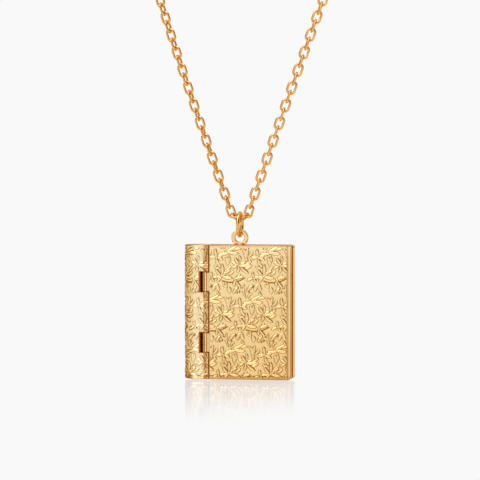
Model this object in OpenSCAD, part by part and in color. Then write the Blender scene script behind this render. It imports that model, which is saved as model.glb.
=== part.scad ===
// Book locket worn as a necklace: a shut book on a jump ring and a closed cable chain.
// The origin is at the nape, +Z is up, and the locket hangs in front, towards -Y.

/* [Book] */
// Width of the book, from its spine to its fore-edge
book_w = 22.2; // [20:0.1:26]
// Height of the book
book_h = 27.1; // [24:0.1:32]
// Thickness of the shut book
book_t = 6; // [5.8:0.1:7]
// Thickness of the front and back plates and of the cover's walls
sheet_t = 0.5; // [0.4:0.05:0.55]
// Radius of the book's outer corners, seen from the front
corner_r = 0.6; // [0.3:0.05:0.9]
// Radius of the rounded front and back edges
edge_r = 0.35; // [0.2:0.05:0.4]
// Depth of the front cover's side walls, front plate included
cover_depth = 1.5; // [1.4:0.1:1.8]
// Depth of the back cover, back plate included
tray_depth = 2.6; // [2.4:0.1:2.8]
// How far the inner collar is set in from the book's outline
collar_inset = 0.6; // [0.6:0.01:0.8]
// Thickness of the inner collar
collar_t = 0.4; // [0.3:0.05:0.6]
// How far the collar reaches in under the front cover
collar_reach = 0.7; // [0.5:0.1:0.7]

/* [Hinge] */
// Width of the spine, up to the seam beside the front cover
spine_w = 5.46; // [5.2:0.02:5.6]
// Distance of the hinge axis from the seam
pin_inset = 0.75; // [0.7:0.01:0.8]
// Depth of the hinge axis below the front face
pin_sink = 0.55; // [0.54:0.01:0.6]
// Diameter of the hinge pin
pin_d = 0.5; // [0.4:0.02:0.54]
// Outer diameter of the knuckles and barrels
barrel_d = 1.04; // [0.98:0.02:1.06]
// Clearance between the pin and its bores, all round
pin_play = 0.03; // [0.02:0.01:0.05]
// Height of each notch in the spine, where a barrel shows
notch_h = 4; // [3:0.1:5]
// Distance between the middles of the two notches
notch_spacing = 12.26; // [10:0.1:14]
// Width of a notch to the left of the hinge axis
notch_reach = 1.22; // [1.15:0.01:1.35]
// Running gap at the seam and beside the barrels
seam = 0.11; // [0.1:0.01:0.16]

/* [Floral relief] */
// Height of the raised flowers on the front cover
relief_h = 0.06; // [0.05:0.01:0.08]
// Width of one repeat of the flowers
repeat_w = 8.55; // [8.4:0.05:9]
// Height of one repeat of the flowers
repeat_h = 9.84; // [9.6:0.02:10.4]
// How far each row of flowers is moved to the right of the row below it
row_shift = 3.58; // [3.4:0.02:3.8]
// Bare margin between the flowers and the cover's outline
relief_margin = 0.6; // [0.5:0.05:1]

/* [Bail and jump ring] */
// Distance of the bail's middle from the outer side of the spine
bail_x = 11.37; // [11.2:0.01:11.6]
// Outer diameter of the flat bail loop
bail_d = 3.46; // [3.3:0.02:3.8]
// Diameter of the bail loop's hole
bail_hole_d = 1.8; // [1.7:0.02:2]
// Thickness of the bail loop
bail_t = 1; // [0.8:0.05:1.1]
// Height of the bail loop's centre above the book
bail_rise = 1.45; // [1.35:0.01:1.6]
// Outer diameter of the jump ring
ring_d = 5.35; // [5.3:0.01:5.5]
// Diameter of the jump ring's wire
ring_wire = 0.78; // [0.7:0.02:0.8]
// Gap left where the bail hangs on the jump ring
hang_gap = 0.14; // [0.12:0.01:0.2]

/* [Chain] */
// Outer length of a link
link_len = 3; // [2.96:0.01:3.06]
// Outer width of a link
link_wid = 2.08; // [2.04:0.01:2.12]
// Diameter of the links' wire
link_wire = 0.5; // [0.46:0.01:0.5]
// Wanted distance from one link to the next
link_pitch = 1.87; // [1.85:0.01:1.88]
// Height of the nape above the place where the chain's halves meet
drop = 145; // [130:1:160]
// Distance from the nape forward to the locket
reach = 100; // [90:1:115]
// Angle of each half of the chain to the vertical, where it leaves the locket
strand_angle = 19.5; // [19:0.5:21]

/* [Clasp] */
// Outer diameter of the clasp's ring
clasp_d = 6.1; // [6:0.05:6.2]
// Thickness of the clasp's ring
clasp_wire = 1.3; // [1.2:0.05:1.3]
// Outer diameter of the end ring that the clasp holds
end_ring_d = 3.6; // [3.6:0.02:3.7]
// Wire of the end ring and of the clasp's eye
end_wire = 0.6; // [0.5:0.05:0.6]

/* [Hidden] */
$fn = 48;
over = 1;             // how far a cutting shape runs past what it cuts

// Book
half_t = book_t / 2;
inner_r = half_t - sheet_t;
cap_t = collar_inset + collar_t;              // end wall of spine and tray, collar included
tray_y = half_t - tray_depth;                 // where the back cover's side walls end
cover_y = cover_depth - half_t;               // where the front cover's side walls end
collar_y = cover_y - collar_reach;            // front edge of the collar

// Hinge
pin_x = spine_w - pin_inset;
pin_y = pin_sink - half_t;
lip_r = norm([pin_inset, pin_sink]);          // the spine's lip lies inside this radius
swing_r = lip_r + seam;                       // the cover's edge lies outside this one
wall_gap = 0.8 * seam;                        // between the spine and the front cover's side walls
cover_x = spine_w + wall_gap;
bore_d = pin_d + 2 * pin_play;
pin_end = cap_t - 0.1;                        // depth of the pin's blind holes in the end walls
notch_mids = [book_h / 2 - notch_spacing / 2, book_h / 2 + notch_spacing / 2];
barrel_h = notch_h - 2 * seam;
notch_cut = 1.4;                              // depth to which a notch is cut, past the lip

// Floral relief: each flower's middle, petal width and petals, a petal being its angle and its length
first_flower = [8.27, 20.76];
flowers = [
    [[-0.1, 0.1], 0.54, [[-10, 2.2], [45, 1.3], [88, 2.5], [130, 1.9], [192, 1.2], [232, 1.5]]],
    [[2.58, -0.5], 0.46, [[43, 1.5], [16, 1.8], [-52, 2], [-95, 1.4]]],
    [[6.45, -0.2], 0.48, [[12, 1.1], [100, 1.2], [205, 1.5], [300, 0.9]]],
    [[1.5, -6], 0.52, [[50, 1.8], [84, 2], [118, 2.1]]],
    [[5.7, -4.75], 0.52, [[24, 2.3], [-9, 2.6]]],
    [[3.8, -5.97], 0.5, [[20, 1.4], [98, 1.8], [150, 1], [178, 1.35], [275, 1.4], [-20, 1.4]]],
    [[-0.1, -7.6], 0.52, [[28, 1.4], [3, 2.3], [-38, 2.4], [120, 1.8], [155, 1.6], [255, 1.4]]]
];
heart_r = 0.2;
petal_foot = 0.14;                            // from a flower's middle to the foot of each petal

// Bail and jump ring
bail_z = book_h + bail_rise;
foot_w = bail_hole_d;
foot_z = book_h - cap_t + collar_t / 2;
foot_top = bail_z - bail_hole_d / 2 - 0.3;    // inside the loop's metal, below its hole
ring_r = (ring_d - ring_wire) / 2;
ring_z = bail_z + bail_hole_d / 2 - hang_gap - ring_wire / 2 + ring_r;

// Middle links, which lean against each other inside the jump ring
mid_tilt = 35.8;
mid_roll = -19.7;
mid_yaw = 7.6;
mid_at = [-0.673, -0.225, 0.462];
first_twist = 11.9;
apex_below = 1.343;                           // from the ring's upper wire down to where they cross
apex_z = ring_z + ring_r - apex_below;

// Chain
bend_r = (link_wid - link_wire) / 2;
straight = (link_len - link_wire) / 2 - bend_r;
end_x = 3.92;                                 // last joint of each half, beside the clasp
strand_foot = [1.55, -reach, 0.872 - drop];   // first joint of each half, beside the jump ring
strand_pull = 155;                            // handles of the strand's curve
nape_pull = 48;
strand_back = -3;                             // lean of the curve's lower handle
strand = [
    strand_foot,
    strand_foot + strand_pull * [sin(strand_angle), tan(strand_back) * cos(strand_angle), cos(strand_angle)],
    [nape_pull, 0, 0],
    [end_x, 0, 0]
];
curve_steps = 600;
curve = [for (i = [0:curve_steps]) bezier(strand, i / curve_steps)];
run = [for (i = 0, s = 0; i <= curve_steps; s = s + (i < curve_steps ? norm(curve[i + 1] - curve[i]) : 0), i = i + 1) s];
curve_len = run[curve_steps];
where = [for (i = [0:curve_steps]) [run[i], i / curve_steps]];
links = 2 * round((curve_len / link_pitch - 1) / 2) + 1;   // odd, so that the end rings lie level
pitch = curve_len / links;
neck_mid = [0, -reach / 2];

// Clasp
grip = 0.36;                                  // how far an end ring reaches past the last joint
eye_r = 0.75;
eye_x = end_x + grip - eye_r;
clasp_r = (clasp_d - clasp_wire) / 2;
clasp_x = clasp_r + 0.45 + eye_r - eye_x;
end_ring_r = (end_ring_d - end_wire) / 2;
end_ring_x = end_x + grip - end_ring_r;

function bezier(p, t) =
    pow(1 - t, 3) * p[0] + 3 * pow(1 - t, 2) * t * p[1] + 3 * (1 - t) * t * t * p[2] + pow(t, 3) * p[3];
function unit(v) = v / norm(v);
function joint_at(k) = bezier(strand, lookup(k * pitch, where));
function mirrored(p, side) = [side * p[0], p[1], p[2]];
function inside(p, low, high, r) =
    p[0] > low[0] + r && p[0] < high[0] - r && p[1] > low[1] + r && p[1] < high[1] - r;

// Puts the locket's own frame, with its lower left corner at the origin, where it hangs
module hung() {
    translate([-bail_x, -reach, -apex_z - drop]) children();
}

// A wire ring in the XY plane
module wire_ring(r, wire) {
    rotate_extrude() translate([r, 0]) circle(d = wire);
}

// The half of a slab's outline that is rounded at its outer edges: a square with two round corners on the right
module right_rounded(w, h, r) {
    square([w - r, h]);
    translate([0, r]) square([w, h - 2 * r]);
    translate([w - r, r]) circle(r);
    translate([w - r, h - r]) circle(r);
}

// Half of the book's thickness, filled, from x to the fore-edge: side is -1 in front and 1 behind
module cover_block(x, depth, side) {
    intersection() {
        translate([x, side < 0 ? -half_t : half_t - depth, 0]) cube([book_w - x, depth, book_h]);
        translate([0, half_t + over, 0]) rotate([90, 0, 0])
            linear_extrude(book_t + 2 * over) right_rounded(book_w, book_h, corner_r);
        rotate([90, 0, 90]) linear_extrude(book_w + over) end_profile();
        linear_extrude(book_h) translate([0, -half_t]) right_rounded(book_w, book_t, edge_r);
    }
}

// Book's thickness by height, with its four edges rounded
module end_profile() {
    right_rounded(half_t, book_h, edge_r);
    mirror([1, 0]) right_rounded(half_t, book_h, edge_r);
}

// Half-round back and flat sides of the spine, filled
module spine_block() {
    translate([half_t, 0, 0]) rotate_extrude(angle = 180, start = 90)
        right_rounded(half_t, book_h, edge_r);
    translate([half_t, 0, 0]) rotate([90, 0, 90]) linear_extrude(spine_w - half_t) end_profile();
}

// Room inside the spine and the covers
module case_room() {
    room_h = book_h - 2 * cap_t;
    translate([half_t, 0, cap_t]) rotate_extrude(angle = 180, start = 90) square([inner_r, room_h]);
    translate([half_t, -inner_r, cap_t]) cube([book_w - cap_t - half_t, 2 * inner_r, room_h]);
}

// Rim that the front cover shuts over
module collar_block() {
    translate([spine_w - over / 2, collar_y, collar_inset])
        cube([book_w - collar_inset - spine_w + over / 2, tray_y - collar_y + over, book_h - 2 * collar_inset]);
}

module hinge_rod(d, z0, z1) {
    translate([pin_x, pin_y, z0]) cylinder(d = d, h = z1 - z0);
}

// The knuckles of the case fill the spine's lip between the notches
module knuckles() {
    hinge_rod(barrel_d, cap_t / 2, notch_mids[0] - notch_h / 2);
    hinge_rod(barrel_d, notch_mids[0] + notch_h / 2, notch_mids[1] - notch_h / 2);
    hinge_rod(barrel_d, notch_mids[1] + notch_h / 2, book_h - cap_t / 2);
}

module bail() {
    translate([bail_x, bail_t / 2, bail_z]) rotate([90, 0, 0]) cylinder(d = bail_d, h = bail_t);
    translate([bail_x - foot_w / 2, -bail_t / 2, foot_z]) cube([foot_w, bail_t, foot_top - foot_z]);
}

module case() {
    color("#d8b878") hung() difference() {
        union() {
            difference() {
                union() {
                    spine_block();
                    cover_block(spine_w, tray_depth, 1);
                    collar_block();
                }
                case_room();
                for (z = notch_mids)
                    translate([pin_x - notch_reach, -half_t - over, z - notch_h / 2])
                        cube([notch_reach + pin_inset + over, over + notch_cut, notch_h]);
            }
            knuckles();
            bail();
        }
        hinge_rod(bore_d, pin_end, book_h - pin_end);
        translate([bail_x, bail_t, bail_z]) rotate([90, 0, 0]) cylinder(d = bail_hole_d, h = 2 * bail_t);
    }
}

// One pointed petal, from its foot along X: what two round discs share
module petal(length, width, h) {
    disc_r = (length * length + width * width) / (4 * width);
    intersection_for(side = [-1, 1])
        translate([length / 2, side * (disc_r - width / 2), 0]) cylinder(r = disc_r, h = h);
}

// Raised star flowers on the front plate, clear of its edges and of the seam
module floral_relief() {
    low = [cover_x + relief_margin, relief_margin];
    high = [book_w - relief_margin - edge_r, book_h - relief_margin];
    for (row = [-2:1], column = [-1:2], flower = flowers) {
        mid = first_flower + flower[0] + [column * repeat_w + row * row_shift, row * repeat_h];
        if (inside(mid, low, high, heart_r)) {
            on_cover(mid) cylinder(r = heart_r, h = relief_h + over / 4);
            for (leaf = flower[2]) {
                way = [cos(leaf[0]), sin(leaf[0])];
                if (inside(mid + leaf[1] * way, low, high, 0))
                    on_cover(mid + petal_foot * way) rotate(leaf[0])
                        petal(leaf[1] - petal_foot, flower[1], relief_h + over / 4);
            }
        }
    }
}

// Stands a shape on the front plate, sunk into it by a quarter millimetre
module on_cover(at) {
    translate([at[0], over / 4 - half_t, at[1]]) rotate([90, 0, 0]) children();
}

module front_cover() {
    wall_room = book_h - 2 * sheet_t;
    color("#e2c283") hung() difference() {
        union() {
            difference() {
                cover_block(cover_x, cover_depth, -1);
                translate([cover_x - over, sheet_t - half_t, sheet_t])
                    cube([book_w - sheet_t - cover_x + over, cover_depth, wall_room]);
                hinge_rod(2 * swing_r, -over, book_h + over);
            }
            floral_relief();
            for (z = notch_mids) {
                hinge_rod(barrel_d, z - barrel_h / 2, z + barrel_h / 2);
                translate([pin_x, -half_t, z - barrel_h / 2])
                    cube([cover_x + sheet_t - pin_x, sheet_t, barrel_h]);
            }
        }
        hinge_rod(bore_d, cap_t, book_h - cap_t);
    }
}

module hinge_pin() {
    color("#c9a35c") hung() hinge_rod(pin_d, cap_t, book_h - cap_t);
}

module jump_ring() {
    color("#d9a860") hung() translate([bail_x, 0, ring_z]) rotate([0, 90, 0]) wire_ring(ring_r, ring_wire);
}

// One oval link in the XY plane, its long axis along X
module link() {
    for (side = [-1, 1]) {
        translate([side * straight, 0, 0])
            rotate_extrude(angle = 180, start = side > 0 ? -90 : 90) translate([bend_r, 0]) circle(d = link_wire);
        translate([-straight, side * bend_r, 0]) rotate([0, 90, 0]) cylinder(d = link_wire, h = 2 * straight);
    }
}

// A link whose long axis runs along "along" and whose width runs along "across"
module placed_link(mid, along, across) {
    up = cross(along, across);
    multmatrix([
        [along[0], across[0], up[0], mid[0]],
        [along[1], across[1], up[1], mid[1]],
        [along[2], across[2], up[2], mid[2]],
        [0, 0, 0, 1]
    ]) link();
}

// The strand's links turn about a line to the middle of the neck, each at a right angle to the last
module strand_links(side) {
    for (k = [0:links - 1]) {
        from = mirrored(joint_at(k), side);
        to = mirrored(joint_at(k + 1), side);
        mid = (from + to) / 2;
        along = unit(to - from);
        inward = [neck_mid[0] - mid[0], neck_mid[1] - mid[1], 0];
        facing = unit(inward - (inward * along) * along);
        flat = cross(along, facing);
        twist = k == 0 ? first_twist : 0;
        placed_link(mid, along, k % 2 == 0 ? cos(twist) * flat + sin(twist) * facing : facing);
    }
}

// One of the two links that cross inside the jump ring: side -1 is the left one
module middle_link(side) {
    turn = [side < 0 ? 1 : -1, side < 0 ? 1 : -1, 1];
    along = [-cos(mid_tilt) * cos(mid_yaw), sin(mid_yaw) * cos(mid_tilt), sin(mid_tilt)];
    level = unit([0, 1, 0] - along[1] * along);
    across = cos(mid_roll) * level + sin(mid_roll) * cross(along, level);
    placed_link([for (i = [0:2]) mid_at[i] * turn[i]] + [0, -reach, -drop],
        [for (i = [0:2]) along[i] * turn[i]], [for (i = [0:2]) across[i] * turn[i]]);
}

module chain_left() {
    color("#d2a052") {
        middle_link(-1);
        strand_links(-1);
    }
}

module chain_right() {
    color("#cf9c4d") {
        middle_link(1);
        strand_links(1);
    }
}

// Closed ring clasp with its eye, hidden at the nape
module clasp() {
    color("#cfa75e") {
        translate([clasp_x, 0, 0]) rotate([90, 0, 0]) wire_ring(clasp_r, clasp_wire);
        translate([-eye_x, 0, 0]) wire_ring(eye_r, end_wire);
    }
}

module clasp_ring() {
    color("#d6ae66") translate([end_ring_x, 0, 0]) wire_ring(end_ring_r, end_wire);
}

case();
front_cover();
hinge_pin();
jump_ring();
chain_left();
chain_right();
clasp();
clasp_ring();
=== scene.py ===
import logging
import math
import random
from dataclasses import dataclass, field
from enum import Enum
from typing import Any, Iterator, Sequence, Union

import bpy
import bmesh
import numpy as np
from mathutils import Matrix, Vector


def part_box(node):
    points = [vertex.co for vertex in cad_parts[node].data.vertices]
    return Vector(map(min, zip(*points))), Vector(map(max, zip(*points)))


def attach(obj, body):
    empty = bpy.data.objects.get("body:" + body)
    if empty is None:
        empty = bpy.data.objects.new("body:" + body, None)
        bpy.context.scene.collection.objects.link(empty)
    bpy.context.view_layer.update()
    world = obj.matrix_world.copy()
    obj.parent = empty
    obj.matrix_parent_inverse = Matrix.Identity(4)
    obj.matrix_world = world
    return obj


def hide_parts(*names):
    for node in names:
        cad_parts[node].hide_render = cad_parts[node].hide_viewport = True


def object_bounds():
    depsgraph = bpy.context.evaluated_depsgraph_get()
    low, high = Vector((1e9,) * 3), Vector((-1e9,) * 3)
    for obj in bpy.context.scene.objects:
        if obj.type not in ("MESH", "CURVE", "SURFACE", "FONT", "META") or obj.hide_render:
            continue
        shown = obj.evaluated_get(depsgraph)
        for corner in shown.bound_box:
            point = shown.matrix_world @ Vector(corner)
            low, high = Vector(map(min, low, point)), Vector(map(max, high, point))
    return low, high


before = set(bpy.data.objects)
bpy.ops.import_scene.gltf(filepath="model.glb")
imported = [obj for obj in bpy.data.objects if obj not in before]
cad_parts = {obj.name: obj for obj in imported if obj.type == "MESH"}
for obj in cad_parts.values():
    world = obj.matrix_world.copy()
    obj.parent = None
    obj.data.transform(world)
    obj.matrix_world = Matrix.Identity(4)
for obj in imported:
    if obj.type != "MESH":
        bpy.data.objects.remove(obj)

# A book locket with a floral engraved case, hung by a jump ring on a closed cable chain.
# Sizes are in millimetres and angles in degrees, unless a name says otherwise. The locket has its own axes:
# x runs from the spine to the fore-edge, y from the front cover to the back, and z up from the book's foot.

LOG = logging.getLogger("book_locket")
MM = 0.001
TINY = 1e-6
# Vertices nearer to each other than this are one: on the locket's axes, and in the chain's metres
MERGE_MM = 0.00002
WELD_M = 1e-7
# Faces larger than this are shaded flat
PLANE_FROM_MM2 = 0.5
# A vertex this near to a plain face of the CAD node lies on it
SKIN_TOUCH = 0.001
# Stations across the nick where a wire ring's ends meet, and the depths of the three inner ones
NICK_MM = (-0.06, -0.025, 0.0, 0.025, 0.06)
NICK_DEPTHS = (0.4, 1.0, 0.4)
WIRE_CREASE = 50.0
CAD_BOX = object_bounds()

Colour = tuple[float, float, float]
Shape = tuple[np.ndarray, list[tuple[int, ...]]]
Piece, Mesh, Material, Socket = (
    bpy.types.Object, bpy.types.Mesh, bpy.types.Material, bpy.types.NodeSocket)


class Body(Enum):
    """The bodies that the necklace's joints move."""

    NECKLACE = "necklace"
    LOCKET = "locket"
    COVER = "cover"
    RING = "ring"


class Slot(Enum):
    """The record's material slots."""

    LOCKET = "locket_gold"
    RING = "ring_gold"
    CHAIN = "chain_gold"
    CLASP = "clasp_gold"


class Side(Enum):
    """The wearer's two sides of the chain, seen from the front."""

    LEFT = -1
    RIGHT = 1


class BladeKind(Enum):
    """What a pointed blade of the engraving stands for."""

    PETAL = "petal"
    LEAF = "leaf"


class Value:
    """A node's output that can be used in a Python expression, each operation adding one Math node."""

    def __init__(self, sheet: "NodeSheet", socket: Socket) -> None:
        """Wraps a socket of the given sheet."""
        self.sheet = sheet
        self.socket = socket

    def math(self, operation: str, *operands: "Operand") -> "Value":
        """Adds one Math node.

        Args:
            operation: the Math node's operation.
            operands: what goes into the node's sockets, in order.

        Returns:
            The node's result.
        """
        made = self.sheet.add("ShaderNodeMath", {"operation": operation}, dict(enumerate(operands)))
        return Value(self.sheet, made.outputs[0])

    def __add__(self, other: "Operand") -> "Value":
        """Returns self + other."""
        return self.math("ADD", self, other)

    def __radd__(self, other: float) -> "Value":
        """Returns other + self."""
        return self.math("ADD", other, self)

    def __sub__(self, other: "Operand") -> "Value":
        """Returns self - other."""
        return self.math("SUBTRACT", self, other)

    def __rsub__(self, other: float) -> "Value":
        """Returns other - self."""
        return self.math("SUBTRACT", other, self)

    def __mul__(self, other: "Operand") -> "Value":
        """Returns self * other."""
        return self.math("MULTIPLY", self, other)

    def __rmul__(self, other: float) -> "Value":
        """Returns other * self."""
        return self.math("MULTIPLY", other, self)

    def __mod__(self, other: "Operand") -> "Value":
        """Returns self modulo other."""
        return self.math("MODULO", self, other)

    def sign(self) -> "Value":
        """Returns -1, 0 or 1."""
        return self.math("SIGN", self)

    def ease(self, low: float, high: float) -> "Value":
        """Rises smoothly from 0 to 1.

        Args:
            low: the value that gives 0.
            high: the value that gives 1.

        Returns:
            The eased value.
        """
        made = self.sheet.add("ShaderNodeMapRange", {"interpolation_type": "SMOOTHSTEP"},
                              {"Value": self, "From Min": low, "From Max": high})
        return Value(self.sheet, made.outputs["Result"])


Operand = Union[Value, float]


class NodeSheet:
    """Writes one node tree. Every node but those of an expression comes from its add method."""

    def __init__(self, tree: bpy.types.NodeTree) -> None:
        """Clears the tree and keeps it."""
        self.tree = tree
        tree.nodes.clear()

    def add(self, kind: str, settings: dict[str, Any] | None = None,
            sockets: dict[Any, Any] | None = None) -> bpy.types.Node:
        """Adds a node, sets it up and feeds its sockets.

        Args:
            kind: the node's type.
            settings: its properties; "stops" are a ramp's places and colours.
            sockets: a value, a socket or a Value for each named or numbered input.

        Returns:
            The new node.
        """
        made = self.tree.nodes.new(kind)
        for name, value in (settings or {}).items():
            if name == "stops":
                self._set_stops(made.color_ramp, value)
            else:
                setattr(made, name, value)
        for key, value in (sockets or {}).items():
            self.feed(made.inputs[key], value)
        return made

    def feed(self, socket: Socket, value: Any) -> None:
        """Links a socket or a Value to an input, or sets the input to a plain value."""
        if isinstance(value, Value):
            value = value.socket
        if isinstance(value, Socket):
            self.tree.links.new(value, socket)
        else:
            socket.default_value = value

    def value(self, socket: Socket) -> Value:
        """Wraps a socket for use in an expression."""
        return Value(self, socket)

    def vector(self, operation: str, *operands: Any) -> Socket:
        """Adds one Vector Math node.

        Args:
            operation: the node's operation.
            operands: what goes into the node's sockets, in order.

        Returns:
            The vector that comes out, or the number for an operation that gives one.
        """
        made = self.add("ShaderNodeVectorMath", {"operation": operation}, dict(enumerate(operands)))
        gives_number = operation in ("DOT_PRODUCT", "LENGTH", "DISTANCE")
        return made.outputs["Value" if gives_number else "Vector"]

    def along(self, place: Socket, way: Sequence[float]) -> Value:
        """Returns how far a place lies along a direction, as their dot product."""
        return Value(self, self.vector("DOT_PRODUCT", place, way))

    def attribute(self, name: str) -> Value:
        """Reads a number that the mesh stores for each vertex."""
        return Value(self, self.add("ShaderNodeAttribute", {"attribute_name": name}).outputs["Fac"])

    def mix_colour(self, factor: Operand, low: Any, high: Any) -> Socket:
        """Mixes two colours.

        Args:
            factor: 0 for the first colour and 1 for the second.
            low: the first colour, as three numbers or a socket.
            high: the second colour.

        Returns:
            The mixed colour's socket.
        """
        sides = [c if isinstance(c, Socket) else (*c, 1.0) for c in (low, high)]
        made = self.add("ShaderNodeMix", {"data_type": "RGBA"}, {0: factor, 6: sides[0], 7: sides[1]})
        return made.outputs[2]

    @staticmethod
    def _set_stops(ramp: bpy.types.ColorRamp, stops: Sequence[tuple[float, Colour]]) -> None:
        """Gives a colour ramp its places and colours."""
        while len(ramp.elements) < len(stops):
            ramp.elements.new(1.0)
        for element, (place, colour) in zip(ramp.elements, stops):
            element.position = place
            element.color = (*colour, 1.0)


@dataclass(frozen=True)
class GoldFinish:
    """Gold-coloured plate: polished on its faces, deeper and duller where a tool has cut in, as patina and as
    painted shade in the cuts. It can also carry painted shade, a painted fall of light and a painted
    highlight.
    """

    name: str
    bright: Colour = (0.96, 0.70, 0.35)
    # The tone for patina and for painted shade
    patina_and_shade: Colour = (0.36, 0.15, 0.018)
    roughness: float = 0.2
    cut_roughness: float = 0.14
    cloud_mm: float = 3.5
    cloud_depth: float = 0.22
    cloud_roughness: float = 0.1
    mottle_mm: float = 0.875
    mottle: float = 0.12
    grain_mm: float = 0.09
    grain_height_mm: float = 0.0012
    grain_share: float = 0.6
    stroke_mm: float = 0.035
    stroke_stretch: float = 60.0
    stroke_tilt: float = 8.0
    stroke_share: float = 0.4
    stroke_roughness: float = 0.05
    bump_strength: float = 0.5
    base_shade: float = 0.06
    grazing: Colour = (0.93, 0.74, 0.46)
    # Painted fall of light: the gold turns darker and warmer to the right and downwards, as painted shade:
    # how far, over which lengths, and past which start
    fade: float = 0.0
    light_falloff_mm: tuple[float, float] = (60.0, 40.0)
    light_falloff_start: float = 3.65
    painted_shade_tone: Colour = (0.93, 0.63, 0.27)
    # A pale band of wear and painted highlight lies on the front alone, with painted shade on either side.
    # Across the piece the band starts, is full, begins to end and ends at:
    wear_highlight_band_mm: tuple[float, float, float, float] = (0.0, 0.0, 0.0, 0.0)
    wear_and_highlight_share: float = 0.0
    wear_and_highlight_tone: Colour = (0.95, 0.80, 0.50)
    painted_shade_share: float = 0.0
    wear_and_highlight_edge_mm: float = 0.4
    middle_y: float = -100.0
    front_reach_mm: float = 1.5
    # Painted shade in the seam, and a warm painted reflection on its rim
    seam_shade_tone: Colour = (0.2, 0.05, 0.01)
    seam_rim_reflection_tone: Colour = (0.8, 0.36, 0.09)
    seam_rim_share: float = 0.5

    def material(self) -> Material:
        """Builds the finish.

        Returns:
            The material, on Object coordinates and the piece's engraving attribute, made on the first call.
        """
        if self.name in bpy.data.materials:
            return bpy.data.materials[self.name]
        made = bpy.data.materials.new(self.name)
        made.use_nodes = True
        sheet = NodeSheet(made.node_tree)
        place = sheet.add("ShaderNodeTexCoord").outputs["Object"]
        cloud = self._noise(sheet, place, self.cloud_mm, 3.0)
        grain = self._noise(sheet, place, self.grain_mm, 2.0)
        strokes = self._strokes(sheet, place)
        cut = sheet.attribute("engraving")
        mottle = self._noise(sheet, place, self.mottle_mm, 1.0)
        wear = (cloud - 0.5) * self.cloud_depth + (mottle - 0.5) * self.mottle
        # Painted shade: a fall of light to the right and downwards darkens and warms the gold
        light_falling = (1 / (self.light_falloff_mm[0] * MM), 0.0, -1 / (self.light_falloff_mm[1] * MM))
        fallen = (sheet.along(place, light_falling) - self.light_falloff_start).ease(0.0, 1.0)
        painted_falloff = fallen * self.fade
        across = sheet.along(place, (1 / MM, 0.0, 0.0))
        start, full, last, end = self.wear_highlight_band_mm
        front = (self.middle_y - sheet.along(place, (0.0, 1 / MM, 0.0))).ease(0.0, self.front_reach_mm)
        painted_dim: Operand = 0.0
        # Painted shade on the front outside the band: the spine's far side and the strip beside the seam
        if self.painted_shade_share:
            painted_dim = (1 - across.ease(start, full) + across.ease(last, end)) * front * self.painted_shade_share
        shade = (cut + wear + painted_falloff + painted_dim + self.base_shade).ease(0.0, 1.0)
        ground: Any = sheet.mix_colour(fallen, self.bright, self.painted_shade_tone) if self.fade else self.bright
        plate = sheet.mix_colour(shade, ground, self.patina_and_shade)
        # A pale band of wear and painted highlight down the spine's front
        if self.wear_and_highlight_share:
            wear_and_highlight = across.ease(full, full + self.wear_and_highlight_edge_mm) * (1 - across.ease(last, end))
            wear_and_highlight = wear_and_highlight * (1 - cut) * front * self.wear_and_highlight_share
            plate = sheet.mix_colour(wear_and_highlight, plate, self.wear_and_highlight_tone)
        # Painted shade in the seam, at a notch's ends and in the barrel's groove, with a warm painted
        # reflection on their rims
        seam = sheet.attribute("seam")
        rim_reflected = sheet.mix_colour(seam.ease(0.0, self.seam_rim_share), plate, self.seam_rim_reflection_tone)
        colour = sheet.mix_colour(seam.ease(self.seam_rim_share, 1.0), rim_reflected, self.seam_shade_tone)
        dullness = cut * self.cut_roughness + (cloud - 0.5) * self.cloud_roughness
        dullness = dullness + strokes * self.stroke_roughness + self.roughness
        height = grain * self.grain_share + strokes * self.stroke_share
        bump = sheet.add("ShaderNodeBump", None, {
            "Strength": self.bump_strength, "Distance": self.grain_height_mm * MM, "Height": height})
        skin = sheet.add("ShaderNodeBsdfPrincipled", None, {
            "Base Color": colour, "Metallic": 1.0, "Roughness": dullness, "Normal": bump.outputs["Normal"],
            "Specular Tint": (*self.grazing, 1.0)})
        sheet.add("ShaderNodeOutputMaterial", None, {"Surface": skin.outputs["BSDF"]})
        return made

    @staticmethod
    def _noise(sheet: NodeSheet, place: Socket, size_mm: float, detail: float) -> Value:
        """Adds a noise whose lumps are about the given size."""
        made = sheet.add("ShaderNodeTexNoise", None,
                         {"Vector": place, "Scale": 1.0 / (size_mm * MM), "Detail": detail})
        return sheet.value(made.outputs["Fac"])

    def _strokes(self, sheet: NodeSheet, place: Socket) -> Value:
        """Adds fine polishing strokes that run across the piece."""
        fine, long = 1.0 / (self.stroke_mm * MM), 1.0 / (self.stroke_stretch * self.stroke_mm * MM)
        stretched = sheet.add("ShaderNodeMapping", None, {
            "Vector": place, "Rotation": (0.0, math.radians(self.stroke_tilt), 0.0),
            "Scale": (long, long, fine)})
        made = sheet.add("ShaderNodeTexNoise", None,
                         {"Vector": stretched.outputs["Vector"], "Scale": 1.0, "Detail": 1.0})
        return sheet.value(made.outputs["Fac"])


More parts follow.
